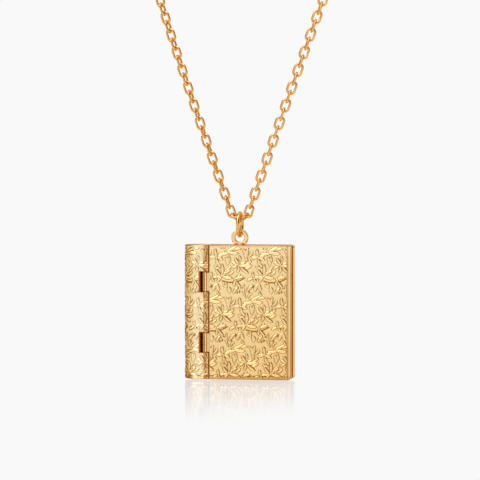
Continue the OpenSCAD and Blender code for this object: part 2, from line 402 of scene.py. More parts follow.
@dataclass(frozen=True)
class PaleFloorFinish:
    """A pale, faintly glossy studio floor whose reflection dies away from the object's foot."""

    name: str = "pale_floor"
    tone: float = 0.947
    gloss: float = 0.36
    roughness: float = 0.05
    reach_mm: float = 95.0
    narrowing: float = 2.2
    foot_mm: tuple[float, float] = (0.0, -100.0)

    def material(self) -> Material:
        """Builds the finish and returns the material."""
        made = bpy.data.materials.new(self.name)
        made.use_nodes = True
        sheet = NodeSheet(made.node_tree)
        place = sheet.add("ShaderNodeTexCoord").outputs["Object"]
        foot = (self.foot_mm[0] * MM, self.foot_mm[1] * MM, 0.0)
        flat = sheet.vector("MULTIPLY", place, (self.narrowing, 1.0, 0.0))
        away = sheet.value(sheet.vector("DISTANCE", flat, foot))
        near = 1.0 - away.ease(0.0, self.reach_mm * MM)
        grey = (self.tone,) * 3 + (1.0,)
        glow = sheet.add("ShaderNodeEmission", None, {"Color": grey, "Strength": 1.0})
        shine = sheet.add("ShaderNodeBsdfAnisotropic", None,
                          {"Color": (1, 1, 1, 1), "Roughness": self.roughness})
        mixed = sheet.add("ShaderNodeMixShader", None, {
            0: near * self.gloss, 1: glow.outputs[0], 2: shine.outputs[0]})
        sheet.add("ShaderNodeOutputMaterial", None, {"Surface": mixed.outputs[0]})
        return made


@dataclass(frozen=True)
class Blade:
    """One pointed petal or leaf of the engraving, from its foot at (x, y)."""

    x: float
    y: float
    angle: float
    length: float
    half_width: float
    bend: float
    kind: BladeKind


@dataclass(frozen=True)
class BladeCut:
    """How a kind of blade is cut: the height of its back, and the depths of its outline and of its veins."""

    raised: float
    outline: float
    vein: float
    side_veins: float


@dataclass(frozen=True)
class Bloom:
    """A flower, trumpet or bunch of leaves: blades that spring from one heart, each an angle and a length."""

    x: float
    y: float
    kind: BladeKind
    half_width: float
    blades: tuple[tuple[float, float], ...]
    bend: float = 0.0


@dataclass(frozen=True)
class Vine:
    """A curved stem on an arc about (x, y)."""

    x: float
    y: float
    radius: float
    start: float
    sweep: float


@dataclass(frozen=True)
class Curl:
    """A small spiral tendril about (x, y)."""

    x: float
    y: float
    radius: float
    turn: float


@dataclass(frozen=True)
class Stroke:
    """One short cut of the graver."""

    x: float
    y: float
    angle: float
    length: float


@dataclass(frozen=True)
class Filler:
    """How bare ground is filled: fans of leaves, set at random wherever they fit."""

    kind: BladeKind
    fan: tuple[float, ...]
    tries: int
    shortest: float
    longest: float
    half_width: float
    gap: float


@dataclass
class FloralSheet:
    """The repeating engraved sheet of star flowers, leaf sprays and tendrils, each row moved across."""

    repeat_across: float = 8.55
    repeat_up: float = 9.84
    row_shift: float = 3.58
    first: tuple[float, float] = (8.27, 20.76)
    seed: int = 7
    blooms: tuple[Bloom, ...] = (
        Bloom(4.9, -4.4, BladeKind.LEAF, 0.23, ((98, 2.9),), 0.12),
        Bloom(0.35, 1.0, BladeKind.LEAF, 0.28, ((39, 1.8),), 0.08),
        Bloom(0.4, 0.35, BladeKind.LEAF, 0.25, ((37, 1.5),), 0.08),
        Bloom(1.1, 2.1, BladeKind.LEAF, 0.46, ((99, 1.95),), 0.1),
        Bloom(0.9, -8.24, BladeKind.LEAF, 0.29, ((27, 1.75),), 0.1),
        Bloom(1.0, -7.3, BladeKind.LEAF, 0.23, ((17, 1.3),)),
        Bloom(2.0, -6.1, BladeKind.LEAF, 0.41, ((272, 1.0),)),
        Bloom(1.4, -6.9, BladeKind.LEAF, 0.32, ((104, 1.8),), 0.1),
        Bloom(3.3, -2.0, BladeKind.LEAF, 0.34, ((232, 1.7), (-40, 1.3))),
        Bloom(6.4, -1.5, BladeKind.LEAF, 0.34, ((227, 2.1),)),
        Bloom(5.1, -3.9, BladeKind.LEAF, 0.2, ((28, 1.1),)),
        Bloom(5.25, -4.4, BladeKind.LEAF, 0.2, ((62, 1.0),)),
        Bloom(7.6, -1.3, BladeKind.LEAF, 0.42, ((238, 1.9), (283, 1.5)), 0.16),
        Bloom(1.5, -3.5, BladeKind.LEAF, 0.46, ((97, 1.5),)),
        Bloom(7.0, -4.6, BladeKind.LEAF, 0.25, ((12, 1.8),), 0.1),
        Bloom(4.1, -5.2, BladeKind.LEAF, 0.28, ((3, 2.3),)),
        Bloom(3.1, -7.6, BladeKind.LEAF, 0.3, ((-20, 1.5),), 0.15),
        Bloom(4.7, -8.0, BladeKind.LEAF, 0.28, ((128, 1.1),)),
        Bloom(1.5, -6.0, BladeKind.LEAF, 0.33, ((50, 1.8), (84, 2.0), (118, 2.1)), 0.06),
        Bloom(-0.1, 0.1, BladeKind.PETAL, 0.34,
              ((-10, 2.2), (45, 1.3), (88, 2.5), (130, 1.9), (192, 1.2), (232, 1.5))),
        Bloom(2.58, -0.5, BladeKind.PETAL, 0.29, ((43, 1.5), (16, 1.8), (-52, 2.0), (-95, 1.4))),
        Bloom(6.45, -0.2, BladeKind.PETAL, 0.3, ((12, 1.1), (100, 1.2), (205, 1.5), (300, 0.9))),
        Bloom(5.7, -4.75, BladeKind.PETAL, 0.33, ((24, 2.3), (-9, 2.6))),
        Bloom(3.8, -5.97, BladeKind.PETAL, 0.32,
              ((20, 1.4), (98, 1.8), (150, 1.0), (178, 1.35), (275, 1.4), (-20, 1.4))),
        Bloom(-0.1, -7.6, BladeKind.PETAL, 0.33,
              ((28, 1.4), (3, 2.3), (-38, 2.4), (120, 1.8), (155, 1.6), (255, 1.4))),
    )
    vines: tuple[Vine, ...] = (
        Vine(1.75, 4.0, 5.15, 249, 56),
    )
    curls: tuple[Curl, ...] = (
        Curl(4.25, -7.75, 0.4, 200),
    )
    cuts: dict[BladeKind, BladeCut] = field(default_factory=lambda: {
        BladeKind.PETAL: BladeCut(0.09, 0.075, 0.03, 0.0),
        BladeKind.LEAF: BladeCut(0.08, 0.07, 0.03, 0.02),
    })
    fillers: tuple[Filler, ...] = (
        Filler(BladeKind.LEAF, (-19, 19), 200, 1.1, 1.7, 0.26, 0.55),
        Filler(BladeKind.LEAF, (0,), 160, 0.9, 1.5, 0.25, 0.5),
    )
    outline_width: float = 0.12
    outline_inner: float = 0.05
    groove_depth: float = 0.07
    groove_width: float = 0.07
    groove_reach: float = 0.4
    shaded_side: tuple[float, float] = (0.55, -0.84)
    lit_share: float = 0.62
    heart_r: float = 0.18
    heart_rise: float = 0.055
    heart_gap: float = 0.03
    heart_cut: float = 0.2
    foot_share: float = 0.8
    taken_at: tuple[float, ...] = (0.15, 0.5, 0.85)
    tested_at: tuple[float, ...] = (0.3, 0.65, 1)
    filler_bend: float = 0.2
    fan_shrink: float = 150.0
    vein_width: float = 0.035
    vein_part: tuple[float, float] = (0.06, 0.82)
    rib_step: float = 0.21
    rib_slant: float = 0.6
    rib_width: float = 0.2
    rib_edge: float = 0.85
    rib_start: float = 0.1
    body_power: float = 0.6
    body_edge: float = 0.8
    cleared_width: float = 0.05
    cleared_rise: float = 0.4
    cleared_cut: float = 0.3
    curl_winding: float = 620.0
    curl_eye: float = 0.06
    curl_rise: float = 0.03
    curl_rise_width: float = 0.12
    stem_half_gap: float = 0.07
    stroke_share: float = 0.22
    # For the side strokes: a value for the first, and what each later one adds or takes off
    stroke_start: tuple[float, float] = (0.35, 0.08)
    stroke_aside: tuple[float, float] = (0.17, 0.12)
    stroke_turn: float = 6.0
    stroke_length: tuple[float, float] = (0.5, 0.15)
    stroke_width: float = 0.09
    common_bend: float = 0.09
    fullness: float = 2.0
    foot_power: float = 0.7
    tip_power: float = 0.55

    def relief(self, us: np.ndarray, vs: np.ndarray) -> np.ndarray:
        """Works out the sheet's height on a grid.

        Args:
            us: places across the sheet, rising.
            vs: places up the sheet, rising.

        Returns:
            Heights above the bare ground, below zero where cut in, one row for each place up the sheet.
        """
        us, vs = us - self.first[0], vs - self.first[1]
        across, up = np.meshgrid(us, vs)
        raised, cut = np.zeros_like(across), np.zeros_like(across)
        blades, strokes = self._blades()
        grid = (us, vs, across, up, raised, cut)
        for blade in (b for b in blades if b.kind is not BladeKind.PETAL):
            self._cut_blade(grid, blade)
        for vine in self.vines:
            self._cut_vine(grid, vine)
        for curl in self.curls:
            self._cut_curl(grid, curl)
        for stroke in strokes:
            self._cut_stroke(grid, stroke)
        for blade in (b for b in blades if b.kind is BladeKind.PETAL):
            self._cut_blade(grid, blade)
        for bloom in (b for b in self.blooms if b.kind is BladeKind.PETAL):
            self._cut_heart(grid, bloom)
        return raised - cut

    def _blades(self) -> tuple[list[Blade], list[Stroke]]:
        """Lays out one repeat.

        Returns:
            Its petals and leaves, and the loose strokes beside the leaves.
        """
        draw = random.Random(self.seed)
        blades = []
        for bloom in self.blooms:
            for angle, length in bloom.blades:
                foot = self.heart_r * self.foot_share
                x, y = self._beside(bloom.x, bloom.y, foot, angle)
                bend = (bloom.bend + self.common_bend) * draw.choice((-1, 1))
                blades.append(Blade(x, y, angle, length - foot, bloom.half_width, bend, bloom.kind))
        self._fill_ground(blades, draw)
        return blades, self._side_strokes(blades, draw)

    def _fill_ground(self, blades: list[Blade], draw: random.Random) -> None:
        """Adds pairs of leaves and single ones where the ground is still bare."""
        taken = [self._beside(b.x, b.y, b.length * part, b.angle) for b in blades for part in self.taken_at]
        for c in self.curls:
            ways = ((0, 0), (1, 0), (-1, 0), (0, 1), (0, -1))
            taken += [(c.x + dx * c.radius, c.y + dy * c.radius) for dx, dy in ways]
        for filler in self.fillers:
            for _ in range(filler.tries):
                x, y = draw.uniform(0, self.repeat_across), draw.uniform(0, self.repeat_up)
                turn, length = draw.uniform(0, 360), draw.uniform(filler.shortest, filler.longest)
                fan = [(turn + angle, length * (1 - abs(angle) / self.fan_shrink)) for angle in filler.fan]
                spines = [self._beside(x, y, far * part, angle)
                          for angle, far in fan for part in self.tested_at]
                if min(self._clearance(taken, place) for place in spines) > filler.gap:
                    bend = draw.uniform(-self.filler_bend, self.filler_bend)
                    blades += [Blade(x, y, angle, far, filler.half_width, bend, filler.kind)
                               for angle, far in fan]
                    taken += spines

    def _side_strokes(self, blades: list[Blade], draw: random.Random) -> list[Stroke]:
        """Sets two or three short cuts beside some of the leaves."""
        made = []
        (start, later), (aside, apart) = self.stroke_start, self.stroke_aside
        long, shorter = self.stroke_length
        for b in blades:
            if b.kind is BladeKind.LEAF and draw.random() < self.stroke_share:
                side = draw.choice((-1, 1))
                for k in range(draw.choice((2, 3))):
                    x, y = self._beside(b.x, b.y, b.length * (start + later * k), b.angle)
                    x, y = self._beside(x, y, b.half_width + aside + apart * k, b.angle + 90 * side)
                    made.append(Stroke(x, y, b.angle + self.stroke_turn * side,
                                       b.length * long * (1 - shorter * k)))
        return made

    @staticmethod
    def _beside(x: float, y: float, far: float, angle: float) -> tuple[float, float]:
        """Returns the place that lies a distance away at an angle."""
        return x + far * math.cos(math.radians(angle)), y + far * math.sin(math.radians(angle))

    def _clearance(self, taken: Sequence[tuple[float, float]], place: tuple[float, float]) -> float:
        """Returns the distance to the nearest taken place, across the repeats."""
        gap = np.asarray(taken) - place
        rows = np.round(gap[:, 1] / self.repeat_up)
        nearest = np.inf
        for extra in (-1, 0, 1):
            dy = gap[:, 1] - (rows + extra) * self.repeat_up
            dx = gap[:, 0] - (rows + extra) * self.row_shift
            dx -= np.round(dx / self.repeat_across) * self.repeat_across
            nearest = min(nearest, float(np.hypot(dx, dy).min()))
        return nearest

    def _copies(self, grid: tuple, x: float, y: float, reach: float) -> Iterator[tuple]:
        """Gives the grid window of each repeat of a motif that the grid can see.

        Args:
            grid: the places, their mesh grids and the two depth maps.
            x: the motif's middle across the sheet.
            y: the motif's middle up the sheet.
            reach: how far the motif reaches from there.

        Yields:
            Distances across and up from the middle, and the window's views of both depth maps.
        """
        us, vs, across, up, raised, cut = grid
        first = math.floor((vs[0] - reach - y) / self.repeat_up)
        last = math.ceil((vs[-1] + reach - y) / self.repeat_up)
        for row in range(first, last + 1):
            mid_v = y + row * self.repeat_up
            start = x + row * self.row_shift
            lowest = math.floor((us[0] - reach - start) / self.repeat_across)
            highest = math.ceil((us[-1] + reach - start) / self.repeat_across)
            for column in range(lowest, highest + 1):
                mid_u = start + column * self.repeat_across
                u0, u1 = np.searchsorted(us, (mid_u - reach, mid_u + reach))
                v0, v1 = np.searchsorted(vs, (mid_v - reach, mid_v + reach))
                if u1 > u0 and v1 > v0:
                    window = (slice(v0, v1), slice(u0, u1))
                    yield across[window] - mid_u, up[window] - mid_v, raised[window], cut[window]

    def _cut_blade(self, grid: tuple, b: Blade) -> None:
        """Raises a blade with its veins and cuts its outline."""
        how = self.cuts[b.kind]
        ca, sa = math.cos(math.radians(b.angle)), math.sin(math.radians(b.angle))
        for dx, dy, raised, cut in self._copies(grid, b.x, b.y, b.length + self.groove_reach):
            along = (dx * ca + dy * sa) / b.length
            inner = np.clip(along, 0, 1)
            side = -dx * sa + dy * ca - 2 * b.bend * b.length * inner * (1 - inner)
            width = b.half_width * self.fullness * inner ** self.foot_power
            width = width * (1 - inner) ** self.tip_power
            inside = (along > 0) & (along < 1) & (np.abs(side) < width)
            beyond = (np.maximum(along - 1, 0) - np.maximum(-along, 0)) * b.length
            aside = np.maximum(np.abs(side) - width, 0)
            outside = np.hypot(aside, beyond)
            within = np.maximum(width - np.abs(side), 0)
            share = np.clip(np.abs(side) / np.maximum(width, TINY), 0, 1)
            outline = how.outline * self._side_share(aside * np.sign(side), beyond, (ca, sa))
            outline = outline * np.exp(-(outside / self.outline_width) ** 2)
            outline = outline * np.where(inside, np.exp(-(within / self.outline_inner) ** 2), 1)
            vein = how.vein * np.exp(-(side / self.vein_width) ** 2)
            vein = vein * ((along > self.vein_part[0]) & (along < self.vein_part[1]))
            slant = (along * b.length - self.rib_slant * np.abs(side)) / self.rib_step
            ribs = how.side_veins * np.exp(-((slant - np.round(slant)) / self.rib_width) ** 2)
            ribs = ribs * (inside & (share < self.rib_edge) & (along > self.rib_start))
            body = np.where(inside, how.raised * (1 - share ** 2) ** self.body_power, 0)
            cleared = np.where(outside < self.cleared_width, self.cleared_rise, 1)
            np.copyto(raised, np.maximum(raised * cleared, body))
            kept = cut * np.where(inside & (share < self.body_edge), self.cleared_cut, 1)
            np.copyto(cut, np.maximum(kept, np.maximum(outline, np.maximum(vein, ribs))))

    def _side_share(self, aside: np.ndarray, beyond: np.ndarray, along: tuple[float, float]) -> np.ndarray:
        """Works out how deep a blade's outline is cut on each side, deepest where its shade falls.

        Args:
            aside: distance beyond the blade's edge, positive on its left.
            beyond: distance beyond its tip, or below zero before its foot.
            along: the blade's direction.

        Returns:
            A share of the full depth.
        """
        aside = aside + TINY * np.sign(aside)
        across = (beyond * along[0] - aside * along[1], beyond * along[1] + aside * along[0])
        towards = across[0] * self.shaded_side[0] + across[1] * self.shaded_side[1]
        towards = towards / np.maximum(np.hypot(*across), TINY)
        return np.clip(0.5 + 0.5 * towards, self.lit_share, 1)

    def _cut_vine(self, grid: tuple, s: Vine) -> None:
        """Cuts both sides of a vine."""
        for dx, dy, _, cut in self._copies(grid, s.x, s.y, s.radius + self.groove_reach):
            far, angle = np.hypot(dx, dy), np.degrees(np.arctan2(dy, dx))
            turn = (angle - s.start) % 360 if s.sweep > 0 else (s.start - angle) % 360
            for side in (-self.stem_half_gap, self.stem_half_gap):
                groove = self.groove_depth * np.exp(-((far - s.radius - side) / self.groove_width) ** 2)
                np.copyto(cut, np.maximum(cut, np.where(turn < abs(s.sweep), groove, 0)))

    def _cut_curl(self, grid: tuple, c: Curl) -> None:
        """Cuts a spiral of two turns."""
        for dx, dy, raised, cut in self._copies(grid, c.x, c.y, c.radius + self.groove_reach):
            far, angle = np.hypot(dx, dy), (np.degrees(np.arctan2(dy, dx)) - c.turn) % 360
            for turn in (0, 1):
                wind = c.radius * (1 - (angle + 360 * turn) / self.curl_winding)
                groove = self.groove_depth * np.exp(-((far - wind) / self.groove_width) ** 2)
                np.copyto(cut, np.maximum(cut, np.where(wind > self.curl_eye, groove, 0)))
            eye = self.curl_rise * np.exp(-(far / self.curl_rise_width) ** 2)
            np.copyto(raised, np.maximum(raised, eye))

    def _cut_stroke(self, grid: tuple, s: Stroke) -> None:
        """Cuts a stroke that is deepest at its middle."""
        ca, sa = math.cos(math.radians(s.angle)), math.sin(math.radians(s.angle))
        for dx, dy, _, cut in self._copies(grid, s.x, s.y, s.length + self.groove_reach):
            along, side = (dx * ca + dy * sa) / s.length, -dx * sa + dy * ca
            swell = np.clip(1 - np.abs(2 * along - 1) ** 2, 0.05, 1)
            groove = self.groove_depth * np.exp(-(side / (self.stroke_width * swell)) ** 2) * swell
            np.copyto(cut, np.maximum(cut, np.where((along > 0) & (along < 1), groove, 0)))

    def _cut_heart(self, grid: tuple, f: Bloom) -> None:
        """Raises the round heart of a flower."""
        radius = self.heart_r
        for dx, dy, raised, cut in self._copies(grid, f.x, f.y, radius + self.groove_reach):
            far = np.hypot(dx, dy)
            ring = self.groove_depth * np.exp(-((far - radius - self.heart_gap) / self.groove_width) ** 2)
            np.copyto(cut, np.maximum(cut * np.where(far < radius, self.heart_cut, 1), ring))
            dome = self.heart_rise * np.sqrt(np.clip(1 - (far / radius) ** 2, 0, 1))
            np.copyto(raised, np.maximum(raised, dome))


@dataclass(frozen=True)
class HungFrame:
    """The locket's own axes, at the lower left corner of the book, in the middle of its thickness."""

    corner_m: np.ndarray

    @classmethod
    def from_case(cls, book_t: float) -> "HungFrame":
        """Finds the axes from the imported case, whose lowest corner is the front one at the spine."""
        low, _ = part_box("case")
        return cls(np.array(low) + (0.0, book_t / 2 * MM, 0.0))

    def to_world(self, points: np.ndarray) -> np.ndarray:
        """Turns millimetres on the locket's axes into metres in the frame."""
        return np.asarray(points, float) * MM + self.corner_m

    def to_local(self, points: np.ndarray) -> np.ndarray:
        """Turns metres in the frame into millimetres on the locket's axes."""
        return (np.asarray(points, float) - self.corner_m) / MM


class Bench:
    """Where meshes are made: plain helpers that every sub-assembly shares."""

    @staticmethod
    def cast(name: str, points: np.ndarray, faces: Sequence[Sequence[int]]) -> Piece:
        """Makes an object from points and faces.

        Args:
            name: the object's name.
            points: its vertices.
            faces: each face's vertex numbers, anticlockwise from outside.

        Returns:
            The object, linked to the scene.
        """
        mesh = bpy.data.meshes.new(name)
        mesh.from_pydata(np.asarray(points).tolist(), [], [list(f) for f in faces])
        mesh.update()
        return Bench.show(name, mesh)

    @staticmethod
    def show(name: str, mesh: Mesh) -> Piece:
        """Makes an object of a mesh and links it to the scene."""
        mesh.name = name
        made = bpy.data.objects.new(name, mesh)
        bpy.context.scene.collection.objects.link(made)
        return made

    @staticmethod
    def points_of(mesh: Mesh) -> np.ndarray:
        """Returns the mesh's vertices as rows of three numbers."""
        flat = np.empty(len(mesh.vertices) * 3, np.float32)
        mesh.vertices.foreach_get("co", flat)
        return flat.reshape(-1, 3).astype(float)

    @staticmethod
    def middles_of(mesh: Mesh) -> np.ndarray:
        """Returns the middle of every face."""
        middles = np.empty(len(mesh.polygons) * 3)
        mesh.polygons.foreach_get("center", middles)
        return middles.reshape(-1, 3)

    @staticmethod
    def dress(mesh: Mesh, finishes: Sequence[GoldFinish], chosen: np.ndarray) -> None:
        """Gives a mesh several finishes, and each face the number of its own."""
        for finish in finishes:
            mesh.materials.append(finish.material())
        mesh.polygons.foreach_set("material_index", chosen.astype(np.int32))

    @staticmethod
    def move_points(mesh: Mesh, points: np.ndarray) -> None:
        """Gives the mesh's vertices new places."""
        mesh.vertices.foreach_set("co", np.asarray(points, np.float32).ravel())
        mesh.update()

    @staticmethod
    def merged_copy(node: str, place: HungFrame) -> Piece:
        """Copies a CAD node as one closed mesh, in millimetres on the locket's axes.

        Args:
            node: the CAD node's name.
            place: the locket's axes.

        Returns:
            The copy, linked to the scene.
        """
        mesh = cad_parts[node].data.copy()
        Bench.move_points(mesh, place.to_local(Bench.points_of(mesh)))
        work = bmesh.new()
        work.from_mesh(mesh)
        bmesh.ops.remove_doubles(work, verts=work.verts, dist=MERGE_MM)
        work.to_mesh(mesh)
        work.free()
        mesh.materials.clear()
        return Bench.show(node + "_copy", mesh)

    @staticmethod
    def combine(first: Piece, second: Piece, operation: str) -> Piece:
        """Combines two closed objects and clears both away.

        Args:
            first: the object that is cut or added to.
            second: the object that cuts or is added.
            operation: INTERSECT, UNION or DIFFERENCE.

        Returns:
            The new object.
        """
        cutter = first.modifiers.new("combine", "BOOLEAN")
        cutter.operation, cutter.solver, cutter.object = operation, "MANIFOLD", second
        mesh = Bench.evaluated_mesh(first)
        mesh.materials.clear()
        for used in (first, second):
            bpy.data.objects.remove(used)
        return Bench.show("combined", mesh)

    @staticmethod
    def evaluated_mesh(thing: Piece) -> Mesh:
        """Returns a plain mesh of an object as its modifiers leave it."""
        graph = bpy.context.evaluated_depsgraph_get()
        graph.update()
        return bpy.data.meshes.new_from_object(thing.evaluated_get(graph))

    @staticmethod
    def smooth(mesh: Mesh, angle: float) -> None:
        """Shades a mesh smooth, apart from edges sharper than the angle and from large plane faces."""
        mesh.shade_smooth()
        mesh.set_sharp_from_angle(angle=math.radians(angle))
        areas = np.empty(len(mesh.polygons))
        mesh.polygons.foreach_get("area", areas)
        mesh.polygons.foreach_set("use_smooth", areas < PLANE_FROM_MM2 * MM * MM)

    @staticmethod
    def torus(middle: Sequence[float], axis: Sequence[float], radius: float, wire: float,
              steps: int, sides: int, joint: float = 0.0) -> Shape:
        """Works out a wire ring, with a hairline nick where its ends meet.

        Args:
            middle: the ring's centre.
            axis: the ring's axis.
            radius: from the centre to the middle of the wire.
            wire: the wire's diameter.
            steps: stations round the ring.
            sides: points round the wire.
            joint: the nick's depth, or 0 for none.

        Returns:
            Its points and faces.
        """
        nick = NICK_MM if joint else ()
        start = 2 * NICK_MM[-1] / radius
        turn = np.concatenate([np.array(nick) / radius, np.linspace(start, math.tau - start, steps)])
        depth = np.zeros(len(turn))
        if joint:
            depth[1:4] = np.array(NICK_DEPTHS) * joint
        round_ = np.linspace(0, math.tau, sides, endpoint=False)
        t, s = np.meshgrid(turn, round_, indexing="ij")
        thick = wire / 2 - depth[:, None]
        far = radius + thick * np.cos(s)
        flat = np.stack([far * np.cos(t), far * np.sin(t), thick * np.sin(s)], -1).reshape(-1, 3)
        facing = np.array(Vector((0, 0, 1)).rotation_difference(Vector(axis)).to_matrix())
        points = flat @ facing.T + np.asarray(middle, float)
        return points, Bench.tube_faces(len(turn), sides)

    @staticmethod
    def prism(outline: Sequence[tuple[float, float]], low: float, high: float) -> Shape:
        """Works out an upright prism between two heights, its outline anticlockwise seen from above."""
        n = len(outline)
        points = np.array([(x, y, z) for z in (low, high) for x, y in outline])
        sides = [(i, (i + 1) % n, (i + 1) % n + n, i + n) for i in range(n)]
        return points, [tuple(range(n))[::-1], tuple(range(n, 2 * n)), *sides]

    @staticmethod
    def tube_faces(stations: int, sides: int) -> list[tuple[int, ...]]:
        """Returns the faces of a tube that closes on itself, station by station."""
        made = []
        for i in range(stations):
            a, b = i * sides, (i + 1) % stations * sides
            for j in range(sides):
                k = (j + 1) % sides
                made.append((a + j, b + j, b + k, a + k))
        return made


@dataclass
class EngravedBlock:
    """A solid block whose outer skin is engraved: a copy of a CAD node is cut to what lies inside it."""

    skin_x: np.ndarray
    skin_y: np.ndarray
    normal_x: np.ndarray
    normal_y: np.ndarray
    heights: np.ndarray
    depth: np.ndarray
    back: tuple[tuple[float, float], ...]

    def build(self, name: str) -> Piece:
        """Builds the closed block.

        Args:
            name: the object's name.

        Returns:
            The block, in millimetres on the locket's axes.
        """
        rows, columns = self.depth.shape
        x = self.skin_x - self.normal_x * self.depth
        y = self.skin_y - self.normal_y * self.depth
        z = np.repeat(self.heights[:, None], columns, axis=1)
        points = np.stack([x, y, z], -1).reshape(-1, 3)
        low, high = self.heights[0], self.heights[-1]
        corners = [(cx, cy, level) for level in (low, high) for cx, cy in self.back]
        at = np.arange(rows * columns).reshape(rows, columns)
        faces = np.stack([at[:-1, :-1], at[:-1, 1:], at[1:, 1:], at[1:, :-1]], -1).reshape(-1, 4).tolist()
        below = [rows * columns + i for i in range(len(self.back))]
        above = [b + len(self.back) for b in below]
        faces.append([*at[0, ::-1].tolist(), *below[::-1]])
        faces.append([*at[-1].tolist(), *above])
        faces.append([below[0], above[0], *at[::-1, -1].tolist()])
        faces += [[below[i], below[i + 1], above[i + 1], above[i]] for i in range(len(self.back) - 1)]
        faces.append([above[-1], below[-1], *at[:, 0].tolist()])
        return Bench.cast(name, np.vstack([points, corners]), faces)


@dataclass
class BookShell:
    """The sizes that the case and the front cover share, and how both are engraved."""

    width: float = 22.2
    height: float = 27.1
    thickness: float = 6.0
    spine_w: float = 5.46
    seam: float = 0.088
    lip: float = 0.14
    grid_mm: float = 0.082
    fine_mm: float = 0.03
    skin: float = 0.015
    margin: float = 0.3
    edge_r: float = 0.35
    edge_share: float = 0.6
    clear: float = 0.5
    over: float = 0.1
    proud: float = 0.1
    near: float = 0.1
    past_seam: float = 0.2
    side_margin: float = 0.15
    # How far fine columns reach from the seam's edge, in lips, and the least gap to the next, in columns
    fine_reach: tuple[float, float] = (1.2, 0.4)
    border_right: float = 0.5
    shade_start: float = 0.004
    deepest: float = 0.2
    # Painted shade along the foot, under the top edge and beside the fore-edge; foot_shade sets it along the
    # foot
    foot_reach: float = 1.4
    top_shade: float = 0.5
    top_w: float = 0.16
    side_shade: float = 0.42
    side_inset: float = 0.62
    side_w: float = 0.26
    border_foot: float = 0.75
    border_depth: float = 0.07
    border_w: float = 0.1
    foot_shade: float = 0.42
    pillow_w: float = 1.3
    pillow_drop: float = 0.09
    shade_depth: float = 0.045
    # The painted shade beside the seam, and its warm painted reflection on the notches' sawn edges:
    seam_reach: float = 0.19
    seam_full: float = 1.3
    cut_edge_reflection_share: float = 0.5
    notch_mids: tuple[float, float] = (7.42, 19.68)
    notch_half: float = 2.0
    notch_left: float = 3.49
    crease: float = 32.0

    @property
    def half_t(self) -> float:
        """Half the thickness of the shut book."""
        return self.thickness / 2

    @property
    def inner_y(self) -> float:
        """Where the rounded front edges end and the inside begins."""
        return -self.half_t + self.edge_r

    def rows(self, grid: float) -> np.ndarray:
        """Returns the heights of the engraved rows."""
        inner = np.arange(-self.over, self.height + self.over, grid)
        return np.concatenate([[-self.clear], inner, [self.height + self.clear]])

    def fade(self, places: np.ndarray, low: float, high: float) -> np.ndarray:
        """Fades the engraving out towards two edges.

        Args:
            places: where along the sheet.
            low: the lower edge.
            high: the upper edge.

        Returns:
            1 well inside and 0 at and past the edges.
        """
        near = np.minimum(places - low, high - places) / self.margin
        step = np.clip(near, 0, 1)
        return step * step * (3 - 2 * step)

    def across(self, low: float, high: float, edge: float) -> np.ndarray:
        """Returns the places of the engraved columns, closer together beside the seam's edge."""
        reach, gap = self.fine_reach
        fine = np.arange(edge - reach * self.lip, edge + reach * self.lip, self.fine_mm)
        plain = np.arange(low, high, self.grid_mm)
        beyond = np.abs(plain - edge) > reach * self.lip + gap * self.fine_mm
        return np.sort(np.concatenate([fine, plain[beyond]]))

    def rounding(self, places: np.ndarray, edge: float) -> np.ndarray:
        """Returns how deep the rounded edge of the seam lies, and a matching groove on its other side."""
        short = np.clip(1 - np.abs(places - edge) / self.lip, 0, 1)
        return self.lip * (1 - np.sqrt(1 - short ** 2))

    def border(self, places: np.ndarray, *lines: float) -> np.ndarray:
        """Returns how deep the border's lines are cut."""
        cut = [np.exp(-((places - line) / self.border_w) ** 2) for line in lines]
        return self.border_depth * np.maximum.reduce(cut)

    def pillow(self, places: np.ndarray, low: float, high: float) -> np.ndarray:
        """Returns how far a plate falls away towards two edges, as pressed sheet does."""
        short = np.clip(1 - np.minimum(places - low, high - places) / self.pillow_w, 0, 1)
        return self.pillow_drop * short ** 2

    def depth(self, sheet: FloralSheet, us: np.ndarray, vs: np.ndarray, u_range: tuple[float, float],
              highest: float) -> np.ndarray:
        """Works out how deep the skin lies below the plain book.

        Args:
            sheet: the floral sheet.
            us: places across, rising.
            vs: places up, rising.
            u_range: the edges of the engraving across.
            highest: how far the bare ground is sunk for the raised blades.

        Returns:
            The depth at each place.
        """
        relief = sheet.relief(us, vs)
        edge = self.edge_r * self.edge_share
        mask = self.fade(vs, edge, self.height - edge)[:, None]
        mask = mask * self.fade(us, *u_range)[None, :]
        lines = self.border(vs, self.border_foot)
        return self.skin + (highest - relief) * mask + (self.pillow(vs, 0, self.height) + lines)[:, None]

    def mark_cuts_and_shade(self, mesh: Mesh, below: np.ndarray, heights: np.ndarray, highest: float,
                       side: np.ndarray | float = 0.0) -> None:
        """Stores how deep each vertex lies under the plain book, from 0 to 1, for the finish to read,
        together with painted shade along the foot, under the top edge and beside the fore-edge.

        Args:
            mesh: the piece's mesh.
            below: how deep each vertex lies.
            heights: how high it lies above the book's foot.
            highest: how far the bare ground is sunk for the raised blades.
            side: a painted shade to add to those near the front.
        """
        # Patina and painted shade in the cuts
        patina_and_shade = np.clip((below - self.skin - highest - self.shade_start) / self.shade_depth, 0, 1)
        patina_and_shade[(below > self.skin + highest + self.deepest) | (below < -self.lip)] = 0
        # Painted shade along the foot and under the top edge, kept off the bail
        foot = np.clip(self.foot_reach - heights / self.border_foot, 0, 1) * self.foot_shade
        top = np.clip((heights - self.height + 2 * self.top_w) / self.top_w, 0, 1) * self.top_shade
        foot = np.maximum(foot, np.where(heights > self.height + self.near, 0, top))
        foot = np.maximum(foot, side)
        self._store(mesh, "engraving", np.maximum(patina_and_shade, np.where(below < highest + self.lip * 3, foot, 0)))

